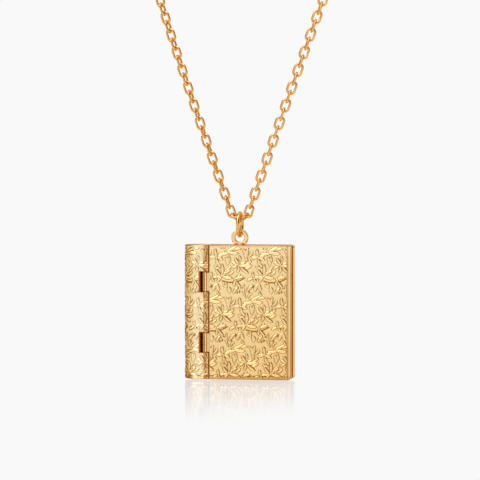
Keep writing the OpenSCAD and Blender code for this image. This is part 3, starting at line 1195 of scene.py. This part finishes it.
    def mark_seam(self, mesh: Mesh, points: np.ndarray, groove: np.ndarray | float = 0.0) -> None:
        """Stores how near each vertex lies to the seam, to a notch's ends or to a groove, from 0 to 1, for
        the finish to paint as shade, with a warm painted reflection on the seam's rim and on the notches'
        sawn edges.
        """
        x, y, z = points.T
        beside = np.abs(x - self.spine_w - self.seam / 2)
        away = [np.abs(z - mid) - self.notch_half for mid in self.notch_mids]
        between = np.maximum.reduce([np.maximum(-a, 0) for a in away])
        far = [np.hypot(beside, between)]
        outside = np.maximum(np.maximum(self.notch_left - x, x - self.spine_w), 0)
        far += [np.hypot(np.abs(a), outside) for a in away]
        share = np.clip(self.seam_full - np.minimum.reduce(far) / self.seam_reach, 0, 1)
        reflecting_cut_edge = (np.abs(x - self.notch_left) < self.lip) & (np.minimum(*away) < 0)
        share = np.maximum(np.where(reflecting_cut_edge, self.cut_edge_reflection_share, share), groove)
        self._store(mesh, "seam", np.where(y < -self.half_t + self.seam_reach * 3, share, 0))

    @staticmethod
    def _store(mesh: Mesh, name: str, values: np.ndarray) -> None:
        """Stores one number for each vertex."""
        made = mesh.attributes.new(name, "FLOAT", "POINT")
        made.data.foreach_set("value", values.astype(np.float32))


@dataclass
class FrontCover:
    """The hinged front cover: an engraved plate with plain side walls and the barrels of the hinge."""

    shell: BookShell
    place: HungFrame
    sheet: FloralSheet
    finish: GoldFinish
    inner_shaded_finish: GoldFinish
    barrel_left: float = 3.0
    barrel_r: float = 0.52
    pin: tuple[float, float] = (4.71, -2.45)
    squareness: float = 0.55
    groove_x: float = 5.1
    groove_w: float = 0.07
    groove_depth: float = 0.12
    highest: float = 0.04
    barrel_touch: float = 0.01

    def build(self) -> Piece:
        """Builds the cover and dresses it.

        Returns:
            The finished piece.
        """
        s = self.shell
        cover = Bench.merged_copy("front_cover", self.place)
        points = Bench.points_of(cover.data)
        points[points[:, 1] < -s.half_t + SKIN_TOUCH, 1] -= s.proud
        Bench.move_points(cover.data, self._flatten_barrels(points))
        left = s.spine_w + s.seam
        fine = np.arange(self.groove_x - 2 * self.groove_w, self.groove_x + 2 * self.groove_w, s.fine_mm)
        plate = s.across(s.spine_w - s.past_seam, s.width + s.past_seam, left)
        us = np.concatenate([[self.barrel_left], fine, plate, [s.width + s.clear]])
        vs = s.rows(s.grid_mm)
        u_range = (left, s.width - s.edge_r - s.side_margin)
        depth = s.depth(self.sheet, us, vs, u_range, self.highest) + s.rounding(us, left)
        depth += s.pillow(us, -s.width, s.width) + s.border(us, s.width - s.border_right)
        depth += self.groove_depth * self._in_groove(us)
        flat = np.ones_like(depth)
        block = EngravedBlock(
            skin_x=flat * us, skin_y=-flat * s.half_t, normal_x=0 * flat, normal_y=-flat, heights=vs,
            depth=depth, back=((us[-1], s.clear), (us[0], s.clear))).build("cover_block")
        made = Bench.combine(cover, block, "INTERSECT")
        points = Bench.points_of(made.data)
        fallen = s.pillow(points[:, 2], 0, s.height) + s.pillow(points[:, 0], -s.width, s.width)
        # Painted shade beside the fore-edge
        side = s.side_shade * np.exp(-((points[:, 0] - s.width + s.side_inset) / s.side_w) ** 2)
        s.mark_cuts_and_shade(made.data, points[:, 1] + s.half_t - fallen, points[:, 2], self.highest, side)
        # Painted shade in the seam and in the barrel's groove
        s.mark_seam(made.data, points, self._in_groove(points[:, 0]))
        x, y, z = Bench.middles_of(made.data).T
        # Inside faces take the painted shade of the inner finish
        inside = (y > s.inner_y) & (x < s.width - s.near) & (x > s.spine_w)
        inside &= (z > s.near) & (z < s.height - s.near)
        Bench.dress(made.data, (self.finish, self.inner_shaded_finish), inside.astype(int))
        Bench.move_points(made.data, self.place.to_world(points))
        Bench.smooth(made.data, s.crease)
        made.name = "engraved_front_cover"
        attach(made, Body.COVER.value)
        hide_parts("front_cover")
        return made

    def _in_groove(self, places: np.ndarray) -> np.ndarray:
        """Tells how near each place lies to the groove between a barrel and its strap, from 0 to 1."""
        return np.exp(-((places - self.groove_x) / self.groove_w) ** 2)

    def _flatten_barrels(self, points: np.ndarray) -> np.ndarray:
        """Draws the barrels' front left quarter out, as that of rolled sheet is nearly flat in front."""
        away = points[:, :2] - self.pin
        far = np.hypot(*away.T)
        chosen = (np.abs(far - self.barrel_r) < self.barrel_touch) & (away[:, 0] < 0) & (away[:, 1] < 0)
        part = away[chosen] / self.barrel_r
        points[chosen, :2] = self.pin + np.sign(part) * np.abs(part) ** self.squareness * self.barrel_r
        return points


@dataclass
class Bail:
    """The flat ring on top of the book, with rounded edges and a short foot."""

    middle_x: float = 11.37
    middle_z: float = 28.55
    outer_d: float = 3.46
    hole_d: float = 1.8
    thickness: float = 1.0
    edge: float = 0.22
    foot_w: float = 1.8
    foot_low: float = 26.8
    foot_sink: float = 0.28
    foot_inset: float = 0.02
    foot_levels: int = 7
    foot_sides: int = 24
    waist: float = 0.86
    squareness: float = 0.4
    corner_steps: int = 5
    steps: int = 72

    def loop(self) -> Shape:
        """Works out the ring: a rounded rectangle turned about the ring's axis."""
        outline = self._section()
        turn = np.linspace(0, math.tau, self.steps, endpoint=False)
        far, along = outline[:, 0], outline[:, 1]
        x = self.middle_x + np.cos(turn)[:, None] * far
        z = self.middle_z + np.sin(turn)[:, None] * far
        y = np.broadcast_to(along, x.shape)
        points = np.stack([x, y, z], -1).reshape(-1, 3)
        return points, Bench.tube_faces(self.steps, len(outline))

    def _section(self) -> np.ndarray:
        """Returns the ring's section: distances from the axis and places along it."""
        middle = (self.outer_d + self.hole_d) / 4
        half = np.array([(self.outer_d - self.hole_d) / 4 - self.edge, self.thickness / 2 - self.edge])
        corner = np.linspace(0, math.pi / 2, self.corner_steps)
        rim = []
        for quarter, (sx, sy) in enumerate(((1, 1), (-1, 1), (-1, -1), (1, -1))):
            angle = corner + quarter * math.pi / 2
            arc = np.stack([np.cos(angle), np.sin(angle)], -1) * self.edge
            rim.append(arc + (sx * half[0], sy * half[1]))
        return np.vstack(rim) + (middle, 0)

    def foot(self) -> Shape:
        """Works out the foot: a waisted block that flares into the ring above and the book below."""
        high = self.middle_z - self.hole_d / 2 - self.foot_sink
        levels = np.linspace(self.foot_low, high, self.foot_levels)
        part = np.linspace(-1, 1, self.foot_levels)
        half_w = self.foot_w / 2 * (self.waist + (1 - self.waist) * part ** 2)
        half_t = self.thickness / 2 - self.foot_inset
        turns = np.linspace(0, math.tau, self.foot_sides, endpoint=False)
        ring = np.array([(math.cos(a), math.sin(a)) for a in turns])
        square = np.sign(ring) * np.abs(ring) ** self.squareness
        points = [(self.middle_x + w * sx, half_t * sy, level)
                  for level, w in zip(levels, half_w) for sx, sy in square]
        sides = len(square)
        faces = []
        for i in range(len(levels) - 1):
            low, high = i * sides, (i + 1) * sides
            faces += [(low + j, low + (j + 1) % sides, high + (j + 1) % sides, high + j)
                      for j in range(sides)]
        faces.append(tuple(range(sides))[::-1])
        faces.append(tuple((len(levels) - 1) * sides + j for j in range(sides)))
        return np.array(points), faces


@dataclass
class BookCase:
    """The spine, the back cover, the collar and the knuckles, engraved all round, with the bail on top."""

    shell: BookShell
    place: HungFrame
    sheet: FloralSheet
    bail: Bail
    finish: GoldFinish
    inner_shaded_finish: GoldFinish
    hollow_shade_finish: GoldFinish
    rim_shade_finish: GoldFinish
    lip_reflection_finish: GoldFinish
    back_grid: float = 0.12
    highest: float = 0.09
    collar_front: float = -2.35
    rim_w: float = 0.7
    rim_y: float = 0.4
    lip_outline: tuple[tuple[float, float], ...] = (
        (3.3, -2.7), (3.46, -2.88), (3.79, -2.6), (3.79, -1.6), (3.3, -1.6))
    spine_steps_mm: float = 0.085
    past_seam: float = 0.4
    plain_depth: float = 0.4
    round_touch: float = 0.002
    seam_touch: float = 0.005

    def build(self) -> Piece:
        """Builds the case and dresses it.

        Returns:
            The finished piece.
        """
        s = self.shell
        case = Bench.merged_copy("case", self.place)
        self._swell(case.data)
        made = Bench.combine(case, self._block(), "INTERSECT")
        for part in (self.bail.foot(), self.bail.loop(), *self._lips()):
            made = Bench.combine(made, Bench.cast("case_part", *part), "UNION")
        points = Bench.points_of(made.data)
        fallen = s.pillow(points[:, 2], 0, s.height)
        s.mark_cuts_and_shade(made.data, self._below(points) - fallen, points[:, 2], self.highest)
        s.mark_seam(made.data, points)
        middles = Bench.middles_of(made.data)
        x, z = middles[:, 0], middles[:, 2]
        inside = (self._below(middles) > self.plain_depth) & (x < s.width - s.near)
        inside &= (z > s.near) & (z < s.height - s.near)
        # Painted shade on the rim, the hollow and the inside, and a warm painted reflection on the lips'
        # fronts
        kinds = (self._on_rim(middles), self._on_lip(middles), inside & (x < s.spine_w - s.near), inside)
        chosen = np.select(kinds, (3, 4, 2, 1), 0)
        Bench.dress(made.data, (self.finish, self.inner_shaded_finish, self.hollow_shade_finish, self.rim_shade_finish,
                                self.lip_reflection_finish), chosen)
        Bench.move_points(made.data, self.place.to_world(points))
        Bench.smooth(made.data, s.crease)
        made.name = "engraved_case"
        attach(made, Body.LOCKET.value)
        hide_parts("case")
        return made

    def _lips(self) -> Iterator[Shape]:
        """Works out the lips that the sheet is folded into at the left of each notch."""
        s = self.shell
        for mid in s.notch_mids:
            yield Bench.prism(self.lip_outline, mid - s.notch_half + s.skin, mid + s.notch_half - s.skin)

    def _on_lip(self, middles: np.ndarray) -> np.ndarray:
        """Tells which faces belong to the slanted front of those lips, which take a warm painted reflection.
        """
        s = self.shell
        x, y, z = middles.T
        across = (x > s.notch_left - s.fine_mm) & (x < self.lip_outline[2][0] + s.fine_mm)
        upright = np.minimum.reduce([np.abs(z - mid) for mid in s.notch_mids]) < s.notch_half - s.skin / 2
        return across & upright & (y < self.lip_outline[3][1] - s.near)

    def _on_rim(self, middles: np.ndarray) -> np.ndarray:
        """Tells which faces lie on the back cover's edge, at the foot of the gap between the covers, which
        take a painted shade.
        """
        s = self.shell
        x, y, z = middles.T
        inset = np.minimum(np.minimum(z, s.height - z), s.width - x)
        return (np.abs(y - self.rim_y) < s.skin) & (inset > -s.skin) & (inset < self.rim_w) & (x > s.spine_w)

    def _swell(self, mesh: Mesh) -> None:
        """Swells the copy's plain skin, so that the engraved block alone gives the surface."""
        s = self.shell
        points = Bench.points_of(mesh)
        x, y = points[:, 0], points[:, 1]
        front = (y < -s.half_t + SKIN_TOUCH) & (x >= s.half_t)
        rear = (y > s.half_t - SKIN_TOUCH) & (x >= s.half_t)
        points[front, 1] -= s.proud
        points[rear, 1] += s.proud
        far = np.hypot(x - s.half_t, y)
        round_ = (x < s.half_t) & (far > s.half_t - self.round_touch)
        grow = (1 + s.proud / far[round_])
        points[round_, 0] = s.half_t + (x[round_] - s.half_t) * grow
        points[round_, 1] = y[round_] * grow
        Bench.move_points(mesh, points)

    def _block(self) -> Piece:
        """Builds the engraved block, from the back's fore-edge round the spine to the seam in front."""
        s = self.shell
        back_x = np.arange(s.width + s.over, s.half_t, -self.back_grid)
        back_x = np.concatenate([[s.width + s.clear], back_x])
        turns = round(math.pi * s.half_t / self.spine_steps_mm)
        turn = np.linspace(math.pi / 2, 3 * math.pi / 2, turns + 1)
        front_x = s.across(s.half_t + s.grid_mm, s.spine_w + s.past_seam, s.spine_w)
        front_x = np.append(front_x, s.spine_w + self.past_seam)
        x = np.concatenate([back_x, s.half_t + s.half_t * np.cos(turn), front_x])
        y = np.concatenate([0 * back_x + s.half_t, s.half_t * np.sin(turn), 0 * front_x - s.half_t])
        nx = np.concatenate([0 * back_x, np.cos(turn), 0 * front_x])
        ny = np.concatenate([0 * back_x + 1, np.sin(turn), 0 * front_x - 1])
        start = s.half_t - math.pi * s.half_t
        us = np.concatenate([start - (back_x - s.half_t), start + (turn - math.pi / 2) * s.half_t, front_x])
        vs = np.concatenate([s.rows(self.spine_steps_mm)[:-1], [s.height + s.clear]])
        ends = (start - (s.width - s.half_t) + s.edge_r + s.side_margin, s.spine_w + s.over)
        depth = s.depth(self.sheet, us, vs, ends, self.highest) + s.rounding(us, s.spine_w)
        full = np.ones_like(depth)
        return EngravedBlock(
            skin_x=full * x, skin_y=full * y, normal_x=full * nx, normal_y=full * ny, heights=vs,
            depth=depth, back=((x[-1], self.collar_front), (x[0], self.collar_front))).build("case_block")

    def _below(self, points: np.ndarray) -> np.ndarray:
        """Returns how deep each point lies under the plain case."""
        s = self.shell
        x, y = points[:, 0], points[:, 1]
        flat = s.half_t - np.abs(y)
        flat[(y < 0) & (x > s.spine_w - self.seam_touch)] = s.thickness
        round_ = s.half_t - np.hypot(x - s.half_t, y)
        below = np.where(x < s.half_t, round_, flat)
        below[points[:, 2] > s.height] = s.thickness
        return below


@dataclass
class JumpRing:
    """The wire ring between the bail and the chain, with a fine nick where its ends meet."""

    place: HungFrame
    finish: GoldFinish
    outer_d: float = 5.35
    wire: float = 0.78
    middle: tuple[float, float, float] = (11.37, 0.0, 31.205)
    nick: float = 0.05
    steps: int = 88
    sides: int = 28

    def build(self) -> Piece:
        """Builds the ring and dresses it."""
        radius = (self.outer_d - self.wire) / 2
        points, faces = Bench.torus(self.middle, (1, 0, 0), radius, self.wire, self.steps, self.sides,
                                    self.nick)
        made = Bench.cast("jump_ring_wire", self.place.to_world(points), faces)
        Bench.smooth(made.data, WIRE_CREASE)
        made.data.materials.append(self.finish.material())
        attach(made, Body.RING.value)
        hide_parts("jump_ring")
        return made


@dataclass
class HingePin:
    """The hinge's pin keeps its CAD solid, and gets its finish here."""

    finish: GoldFinish

    def build(self) -> Piece:
        """Dresses the pin."""
        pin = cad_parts["hinge_pin"]
        pin.material_slots[0].material = self.finish.material()
        return pin


@dataclass
class CableChain:
    """The closed cable chain: two strands of interlocked oval links, and the two that cross below them."""

    finish: GoldFinish
    link_length: float = 3.0
    link_width: float = 2.08
    wire: float = 0.5
    links: int = 117
    reach: float = 100.0
    drop: float = 145.0
    foot: tuple[float, float] = (1.55, 0.872)
    strand_angle: float = 19.5
    strand_back: float = -3.0
    strand_pull: float = 155.0
    nape_pull: float = 48.0
    end_x: float = 3.92
    first_twist: float = 11.9
    mid_tilt: float = 35.8
    mid_roll: float = -19.7
    mid_yaw: float = 7.6
    mid_at: tuple[float, float, float] = (-0.673, -0.225, 0.462)
    route_steps: int = 600
    bend_steps: int = 14
    wire_sides: int = 8

    @property
    def bend_r(self) -> float:
        """Radius of a link's ends, to the middle of the wire."""
        return (self.link_width - self.wire) / 2

    @property
    def straight(self) -> float:
        """Half the length of a link's straight sides."""
        return (self.link_length - self.wire) / 2 - self.bend_r

    def build(self) -> Piece:
        """Builds the whole chain as one mesh and dresses it.

        Returns:
            The finished piece.
        """
        tree = bpy.data.node_groups.new("cable_chain_links", "GeometryNodeTree")
        inputs = self._declare(tree)
        self._write(NodeSheet(tree), tree)
        base = Bench.show("chain_seed", bpy.data.meshes.new("chain_seed"))
        weave = base.modifiers.new("links", "NODES")
        weave.node_group = tree
        gold = self.finish.material()
        for name, value in self._sizes(gold).items():
            weave[inputs[name]] = value
        mesh = Bench.evaluated_mesh(base)
        base.modifiers.clear()
        bpy.data.objects.remove(base)
        self._turn_outwards(mesh)
        made = Bench.show("cable_chain", mesh)
        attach(made, Body.NECKLACE.value)
        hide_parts("chain_left", "chain_right")
        return made

    def _sizes(self, gold: Material) -> dict[str, Any]:
        """Returns the value of each named input of the tree, in metres."""
        lean = math.radians(self.strand_angle)
        back = math.tan(math.radians(self.strand_back)) * math.cos(lean)
        foot = Vector((self.foot[0], -self.reach, self.foot[1] - self.drop))
        pull = foot + self.strand_pull * Vector((math.sin(lean), back, math.cos(lean)))
        return {
            "Wire radius": self.wire / 2 * MM, "Bend radius": self.bend_r * MM,
            "Half straight": self.straight * MM, "Links": self.links,
            "First twist": math.radians(self.first_twist),
            "Strand foot": foot * MM, "Foot handle": pull * MM,
            "Nape handle": Vector((self.nape_pull, 0, 0)) * MM, "Strand end": Vector((self.end_x, 0, 0)) * MM,
            "Neck middle": Vector((0, -self.reach / 2, 0)) * MM, "Gold": gold,
        }

    @staticmethod
    def _declare(tree: bpy.types.NodeTree) -> dict[str, str]:
        """Gives the tree its named inputs.

        Args:
            tree: the geometry node tree.

        Returns:
            Each input's identifier by its name.
        """
        kinds = {
            "Wire radius": "Float", "Bend radius": "Float", "Half straight": "Float", "Links": "Int",
            "First twist": "Float", "Strand foot": "Vector", "Foot handle": "Vector", "Nape handle": "Vector",
            "Strand end": "Vector", "Neck middle": "Vector", "Gold": "Material",
        }
        made = {}
        new_socket = tree.interface.new_socket
        new_socket("Geometry", in_out="INPUT", socket_type="NodeSocketGeometry")
        for name, kind in kinds.items():
            made[name] = new_socket(name, in_out="INPUT", socket_type="NodeSocket" + kind).identifier
        new_socket("Geometry", in_out="OUTPUT", socket_type="NodeSocketGeometry")
        return made

    def _write(self, sheet: NodeSheet, tree: bpy.types.NodeTree) -> None:
        """Writes the tree: one link, both strands of it, and the two middle links."""
        given = sheet.add("NodeGroupInput").outputs
        link = self._link(sheet, given)
        parts = [self._strand(sheet, given, link, side) for side in Side]
        for side in Side:
            place, turn = self._middle_place(side)
            moved = sheet.add("GeometryNodeTransform", None,
                              {"Geometry": link, "Translation": place * MM, "Rotation": turn.to_euler()})
            parts.append(moved.outputs[0])
        joined = sheet.add("GeometryNodeJoinGeometry")
        for part in parts:
            sheet.feed(joined.inputs[0], part)
        real = sheet.add("GeometryNodeRealizeInstances", None, {"Geometry": joined.outputs[0]})
        soft = sheet.add("GeometryNodeSetShadeSmooth", None, {"Geometry": real.outputs[0]})
        gold = sheet.add("GeometryNodeSetMaterial", None,
                         {"Geometry": soft.outputs[0], "Material": given["Gold"]})
        sheet.add("NodeGroupOutput", None, {0: gold.outputs[0]})

    def _link(self, sheet: NodeSheet, given: Any) -> Socket:
        """Makes one oval link: a ring of wire whose two halves are drawn apart."""
        ring = sheet.add("GeometryNodeCurvePrimitiveCircle", None,
                         {"Resolution": self.bend_steps, "Radius": given["Bend radius"]})
        spot = sheet.add("GeometryNodeInputPosition").outputs[0]
        x = sheet.value(sheet.add("ShaderNodeSeparateXYZ", None, {0: spot}).outputs["X"])
        slide = sheet.add("ShaderNodeCombineXYZ", None, {"X": x.sign() * sheet.value(given["Half straight"])})
        oval = sheet.add("GeometryNodeSetPosition", None,
                         {"Geometry": ring.outputs[0], "Offset": slide.outputs[0]})
        section = sheet.add("GeometryNodeCurvePrimitiveCircle", None,
                            {"Resolution": self.wire_sides, "Radius": given["Wire radius"]})
        wire = sheet.add("GeometryNodeCurveToMesh", None,
                         {"Curve": oval.outputs[0], "Profile Curve": section.outputs[0]})
        return wire.outputs[0]

    def _strand(self, sheet: NodeSheet, given: Any, link: Socket,
                side: Side) -> Socket:
        """Hangs links along one strand, each at a right angle to the last.

        Args:
            sheet: the tree's sheet.
            given: the tree's inputs.
            link: the link that is repeated.
            side: which strand.

        Returns:
            The strand's instances.
        """
        ends = {"Start": "Strand foot", "Start Handle": "Foot handle",
                "End Handle": "Nape handle", "End": "Strand end"}
        flip = (side.value, 1.0, 1.0)
        route = sheet.add("GeometryNodeCurvePrimitiveBezierSegment", {"mode": "POSITION"}, {
            "Resolution": self.route_steps,
            **{key: sheet.vector("MULTIPLY", given[name], flip) for key, name in ends.items()}})
        count = sheet.value(given["Links"]) * 2 + 1
        beads = sheet.add("GeometryNodeCurveToPoints", {"mode": "COUNT"},
                          {"Curve": route.outputs[0], "Count": count})
        index = sheet.value(sheet.add("GeometryNodeInputIndex").outputs[0])
        mids = sheet.add("GeometryNodeDeleteGeometry", None,
                         {"Geometry": beads.outputs["Points"], "Selection": 1 - index % 2})
        spot = sheet.add("GeometryNodeInputPosition").outputs[0]
        toward = sheet.vector("SUBTRACT", given["Neck middle"], spot)
        inward = sheet.vector("MULTIPLY", toward, (1.0, 1.0, 0.0))
        lie = sheet.add("FunctionNodeAlignRotationToVector", {"axis": "X"},
                        {"Vector": beads.outputs["Tangent"]})
        face = sheet.add("FunctionNodeAlignRotationToVector", {"axis": "Z", "pivot_axis": "X"},
                         {"Rotation": lie.outputs[0], "Vector": inward})
        first = index.math("COMPARE", index, 0.0, 0.5)
        angle = (index % 2) * (math.pi / 2) - first * sheet.value(given["First twist"])
        turn = sheet.add("FunctionNodeAxisAngleToRotation", None, {"Axis": (1.0, 0.0, 0.0), "Angle": angle})
        rolled = sheet.add("FunctionNodeRotateRotation", {"rotation_space": "LOCAL"},
                           {"Rotation": face.outputs[0], "Rotate By": turn.outputs[0]})
        hung = sheet.add("GeometryNodeInstanceOnPoints", None,
                         {"Points": mids.outputs[0], "Instance": link, "Rotation": rolled.outputs[0]})
        return hung.outputs[0]

    def _middle_place(self, side: Side) -> tuple[Vector, Matrix]:
        """Returns the place and turn of one of the two links that cross inside the jump ring."""
        tilt, roll, yaw = (math.radians(a) for a in (self.mid_tilt, self.mid_roll, self.mid_yaw))
        along = Vector((-math.cos(tilt) * math.cos(yaw), math.sin(yaw) * math.cos(tilt), math.sin(tilt)))
        level = (Vector((0, 1, 0)) - along.y * along).normalized()
        across = math.cos(roll) * level + math.sin(roll) * along.cross(level)
        half_turn = Matrix.Diagonal((-1, -1, 1)) if side is Side.RIGHT else Matrix.Identity(3)
        along, across = half_turn @ along, half_turn @ across
        place = half_turn @ Vector(self.mid_at) + Vector((0, -self.reach, -self.drop))
        return place, Matrix((along, across, along.cross(across))).transposed()

    @staticmethod
    def _turn_outwards(mesh: Mesh) -> None:
        """Turns the links' faces outwards."""
        work = bmesh.new()
        work.from_mesh(mesh)
        bmesh.ops.remove_doubles(work, verts=work.verts, dist=WELD_M)
        bmesh.ops.recalc_face_normals(work, faces=work.faces)
        work.to_mesh(mesh)
        work.free()


@dataclass
class NapeClasp:
    """The closed ring clasp with its eye, and the end ring that it holds, hidden at the nape."""

    finish: GoldFinish
    outer_d: float = 6.1
    wire: float = 1.3
    middle_x: float = 0.07
    eye_x: float = -3.53
    eye_r: float = 0.75
    eye_wire: float = 0.6
    end_ring_x: float = 2.78
    end_ring_r: float = 1.5
    nick: float = 0.06
    ring_grid: tuple[int, int] = (72, 28)
    eye_grid: tuple[int, int] = (36, 18)
    end_grid: tuple[int, int] = (48, 18)

    def build(self) -> list[Piece]:
        """Builds the clasp and the end ring and dresses them."""
        gold = self.finish.material()
        radius = (self.outer_d - self.wire) / 2
        ring = Bench.torus((self.middle_x, 0, 0), (0, 1, 0), radius, self.wire, *self.ring_grid, self.nick)
        eye = Bench.torus((self.eye_x, 0, 0), (0, 0, 1), self.eye_r, self.eye_wire, *self.eye_grid)
        both = np.vstack([ring[0], eye[0]]), ring[1] + [tuple(i + len(ring[0]) for i in f) for f in eye[1]]
        end = Bench.torus((self.end_ring_x, 0, 0), (0, 0, 1), self.end_ring_r, self.eye_wire, *self.end_grid,
                          self.nick / 2)
        made = []
        for name, node, (points, faces) in (("ring_clasp", "clasp", both), ("end_ring", "clasp_ring", end)):
            piece = Bench.cast(name, points * MM, faces)
            Bench.smooth(piece.data, WIRE_CREASE)
            piece.data.materials.append(gold)
            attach(piece, Body.NECKLACE.value)
            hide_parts(node)
            made.append(piece)
        return made


@dataclass(frozen=True)
class Glow:
    """A soft patch of light or shade in the studio's dome."""

    azimuth: float
    elevation: float
    spread: float
    gain: float
    tint: Colour = (1.0, 1.0, 1.0)

    def direction(self) -> tuple[float, float, float]:
        """Returns the way to the patch: azimuth 0 lies before the locket's front and 90 to its right."""
        a, e = math.radians(self.azimuth), math.radians(self.elevation)
        return math.sin(a) * math.cos(e), -math.cos(a) * math.cos(e), math.sin(e)


@dataclass
class Studio:
    """The pale floor, the soft white dome and the camera at the photograph's viewing angle."""

    floor_finish: PaleFloorFinish
    backdrop: float = 0.947
    floor_gap_mm: float = 0.25
    floor_half_m: float = 4.0
    wall_m: float = 0.34
    azimuth: float = 10.5
    elevation: float = 2.4
    distance_mm: float = 600.0
    target_mm: tuple[float, float, float] = (0.0, -100.0, -149.1)
    sensor_mm: float = 36.0
    focal_px: float = 2970.0
    frame_px: float = 480.0
    glows: tuple[Glow, ...] = (
        Glow(-38, 52, 34, 2.2),
        Glow(20, 80, 30, 0.8),
        Glow(-16, 14, 40, 0.18),
        Glow(62, 18, 56, -0.82, (0.8, 1.0, 1.15)),
        Glow(-84, 13, 52, -0.82, (0.8, 1.0, 1.15)),
        Glow(12, 42, 34, -0.6, (0.8, 1.0, 1.15)),
    )

    def build(self) -> None:
        """Builds the floor, the dome and the camera."""
        self._floor()
        self._dome()
        self._camera()
        scene = bpy.context.scene
        scene.view_settings.view_transform = "Standard"
        scene.view_settings.look = "None"

    def _floor(self) -> None:
        """Lays the floor just below the locket, with low far walls that lift the horizon."""
        low = CAD_BOX[0][2] - self.floor_gap_mm * MM
        half = self.floor_half_m
        around = ((-half, -half), (half, -half), (half, half), (-half, half))
        corners = [(x, y, z) for z in (low, low + self.wall_m) for x, y in around]
        walls = [(k, k + 4, (k + 1) % 4 + 4, (k + 1) % 4) for k in range(4)]
        floor = Bench.cast("studio_floor", np.array(corners), [(0, 1, 2, 3), *walls])
        floor.data.materials.append(self.floor_finish.material())

    def _dome(self) -> None:
        """Lights the scene with a pale dome that has soft bright and dim patches."""
        world = bpy.data.worlds.new("studio_dome")
        world.use_nodes = True
        bpy.context.scene.world = world
        sheet = NodeSheet(world.node_tree)
        way = sheet.add("ShaderNodeTexCoord").outputs["Generated"]
        light: Any = (self.backdrop,) * 3
        for glow in self.glows:
            toward = sheet.along(way, glow.direction())
            share = toward.ease(math.cos(math.radians(glow.spread)), 1.0)
            tinted = [share * (glow.gain * c) for c in glow.tint]
            patch = sheet.add("ShaderNodeCombineXYZ", None, dict(enumerate(tinted)))
            light = sheet.vector("ADD", patch.outputs[0], light)
        lit = sheet.add("ShaderNodeBackground", None, {
            "Color": sheet.vector("MAXIMUM", light, (0.0, 0.0, 0.0)), "Strength": 1.0})
        sheet.add("ShaderNodeOutputWorld", None, {"Surface": lit.outputs[0]})

    def _camera(self) -> None:
        """Sets the camera up where the photograph was taken from."""
        a, e = math.radians(self.azimuth), math.radians(self.elevation)
        back = Vector((math.sin(a) * math.cos(e), -math.cos(a) * math.cos(e), math.sin(e)))
        data = bpy.data.cameras.new("studio_camera")
        data.sensor_width = self.sensor_mm
        data.lens = self.focal_px / self.frame_px * self.sensor_mm
        data.clip_start, data.clip_end = 0.01, 100.0
        camera = bpy.data.objects.new("studio_camera", data)
        camera.location = Vector(self.target_mm) * MM + back * self.distance_mm * MM
        camera.rotation_euler = back.to_track_quat("Z", "Y").to_euler()
        bpy.context.scene.collection.objects.link(camera)
        bpy.context.scene.camera = camera


def main() -> None:
    """Builds the studio and every sub-assembly, and reports each piece."""
    logging.basicConfig(level=logging.INFO, format="%(name)s: %(message)s")
    shell = BookShell()
    place = HungFrame.from_case(shell.thickness)
    sheet = FloralSheet()
    # The front cover carries the painted fall of light
    locket_gold = GoldFinish("locket_plate", bright=(0.95, 0.745, 0.395), cloud_depth=0.3, fade=0.12)
    # The spine: a band of wear and painted highlight, with painted shade at its sides
    case_gold = GoldFinish("case_plate", cloud_depth=0.3, wear_highlight_band_mm=(-11.1, -9.3, -7.15, -6.85),
                           wear_and_highlight_share=0.8, painted_shade_share=0.42)
    # Inside faces: a darker, warmer gold as painted shade, and rougher
    inner_shaded_gold = GoldFinish("inner_plate_painted_shade", bright=(0.9, 0.59, 0.25), patina_and_shade=(0.5, 0.24, 0.06), roughness=0.42)
    # The spine's hollow: a dark red-brown as painted shade
    hollow_shade_gold = GoldFinish("spine_hollow_painted_shade", bright=(0.42, 0.13, 0.025), patina_and_shade=(0.2, 0.06, 0.01),
                             roughness=0.4, grazing=(0.3, 0.1, 0.02))
    # The back cover's edge in the gap: dark orange as painted shade
    rim_shade_gold = GoldFinish("rim_side_painted_shade", bright=(0.66, 0.19, 0.006), patina_and_shade=(0.4, 0.11, 0.006), roughness=0.45,
                          grazing=(0.42, 0.12, 0.01))
    # The lips' sawn fronts: a deeper orange as painted warm reflection, and rough
    lip_reflection_gold = GoldFinish("sawn_edge_painted_reflection", bright=(1.0, 0.6, 0.16), patina_and_shade=(0.8, 0.36, 0.08), roughness=0.45,
                          grazing=(0.9, 0.5, 0.14))
    wire_gold = GoldFinish("polished_wire", bright=(0.80, 0.46, 0.15), patina_and_shade=(0.46, 0.19, 0.04),
                           roughness=0.13)
    Studio(PaleFloorFinish()).build()
    pieces = [
        CableChain(wire_gold).build(),
        *NapeClasp(wire_gold).build(),
        JumpRing(place, wire_gold).build(),
        HingePin(GoldFinish("pin_metal", bright=(0.85, 0.55, 0.24))).build(),
        FrontCover(shell, place, sheet, locket_gold, inner_shaded_gold).build(),
        BookCase(shell, place, sheet, Bail(), case_gold, inner_shaded_gold, hollow_shade_gold, rim_shade_gold,
                 lip_reflection_gold).build(),
    ]
    for piece in pieces:
        LOG.info("%s: %d faces", piece.name, len(piece.data.polygons))


if __name__ == "__main__":
    main()
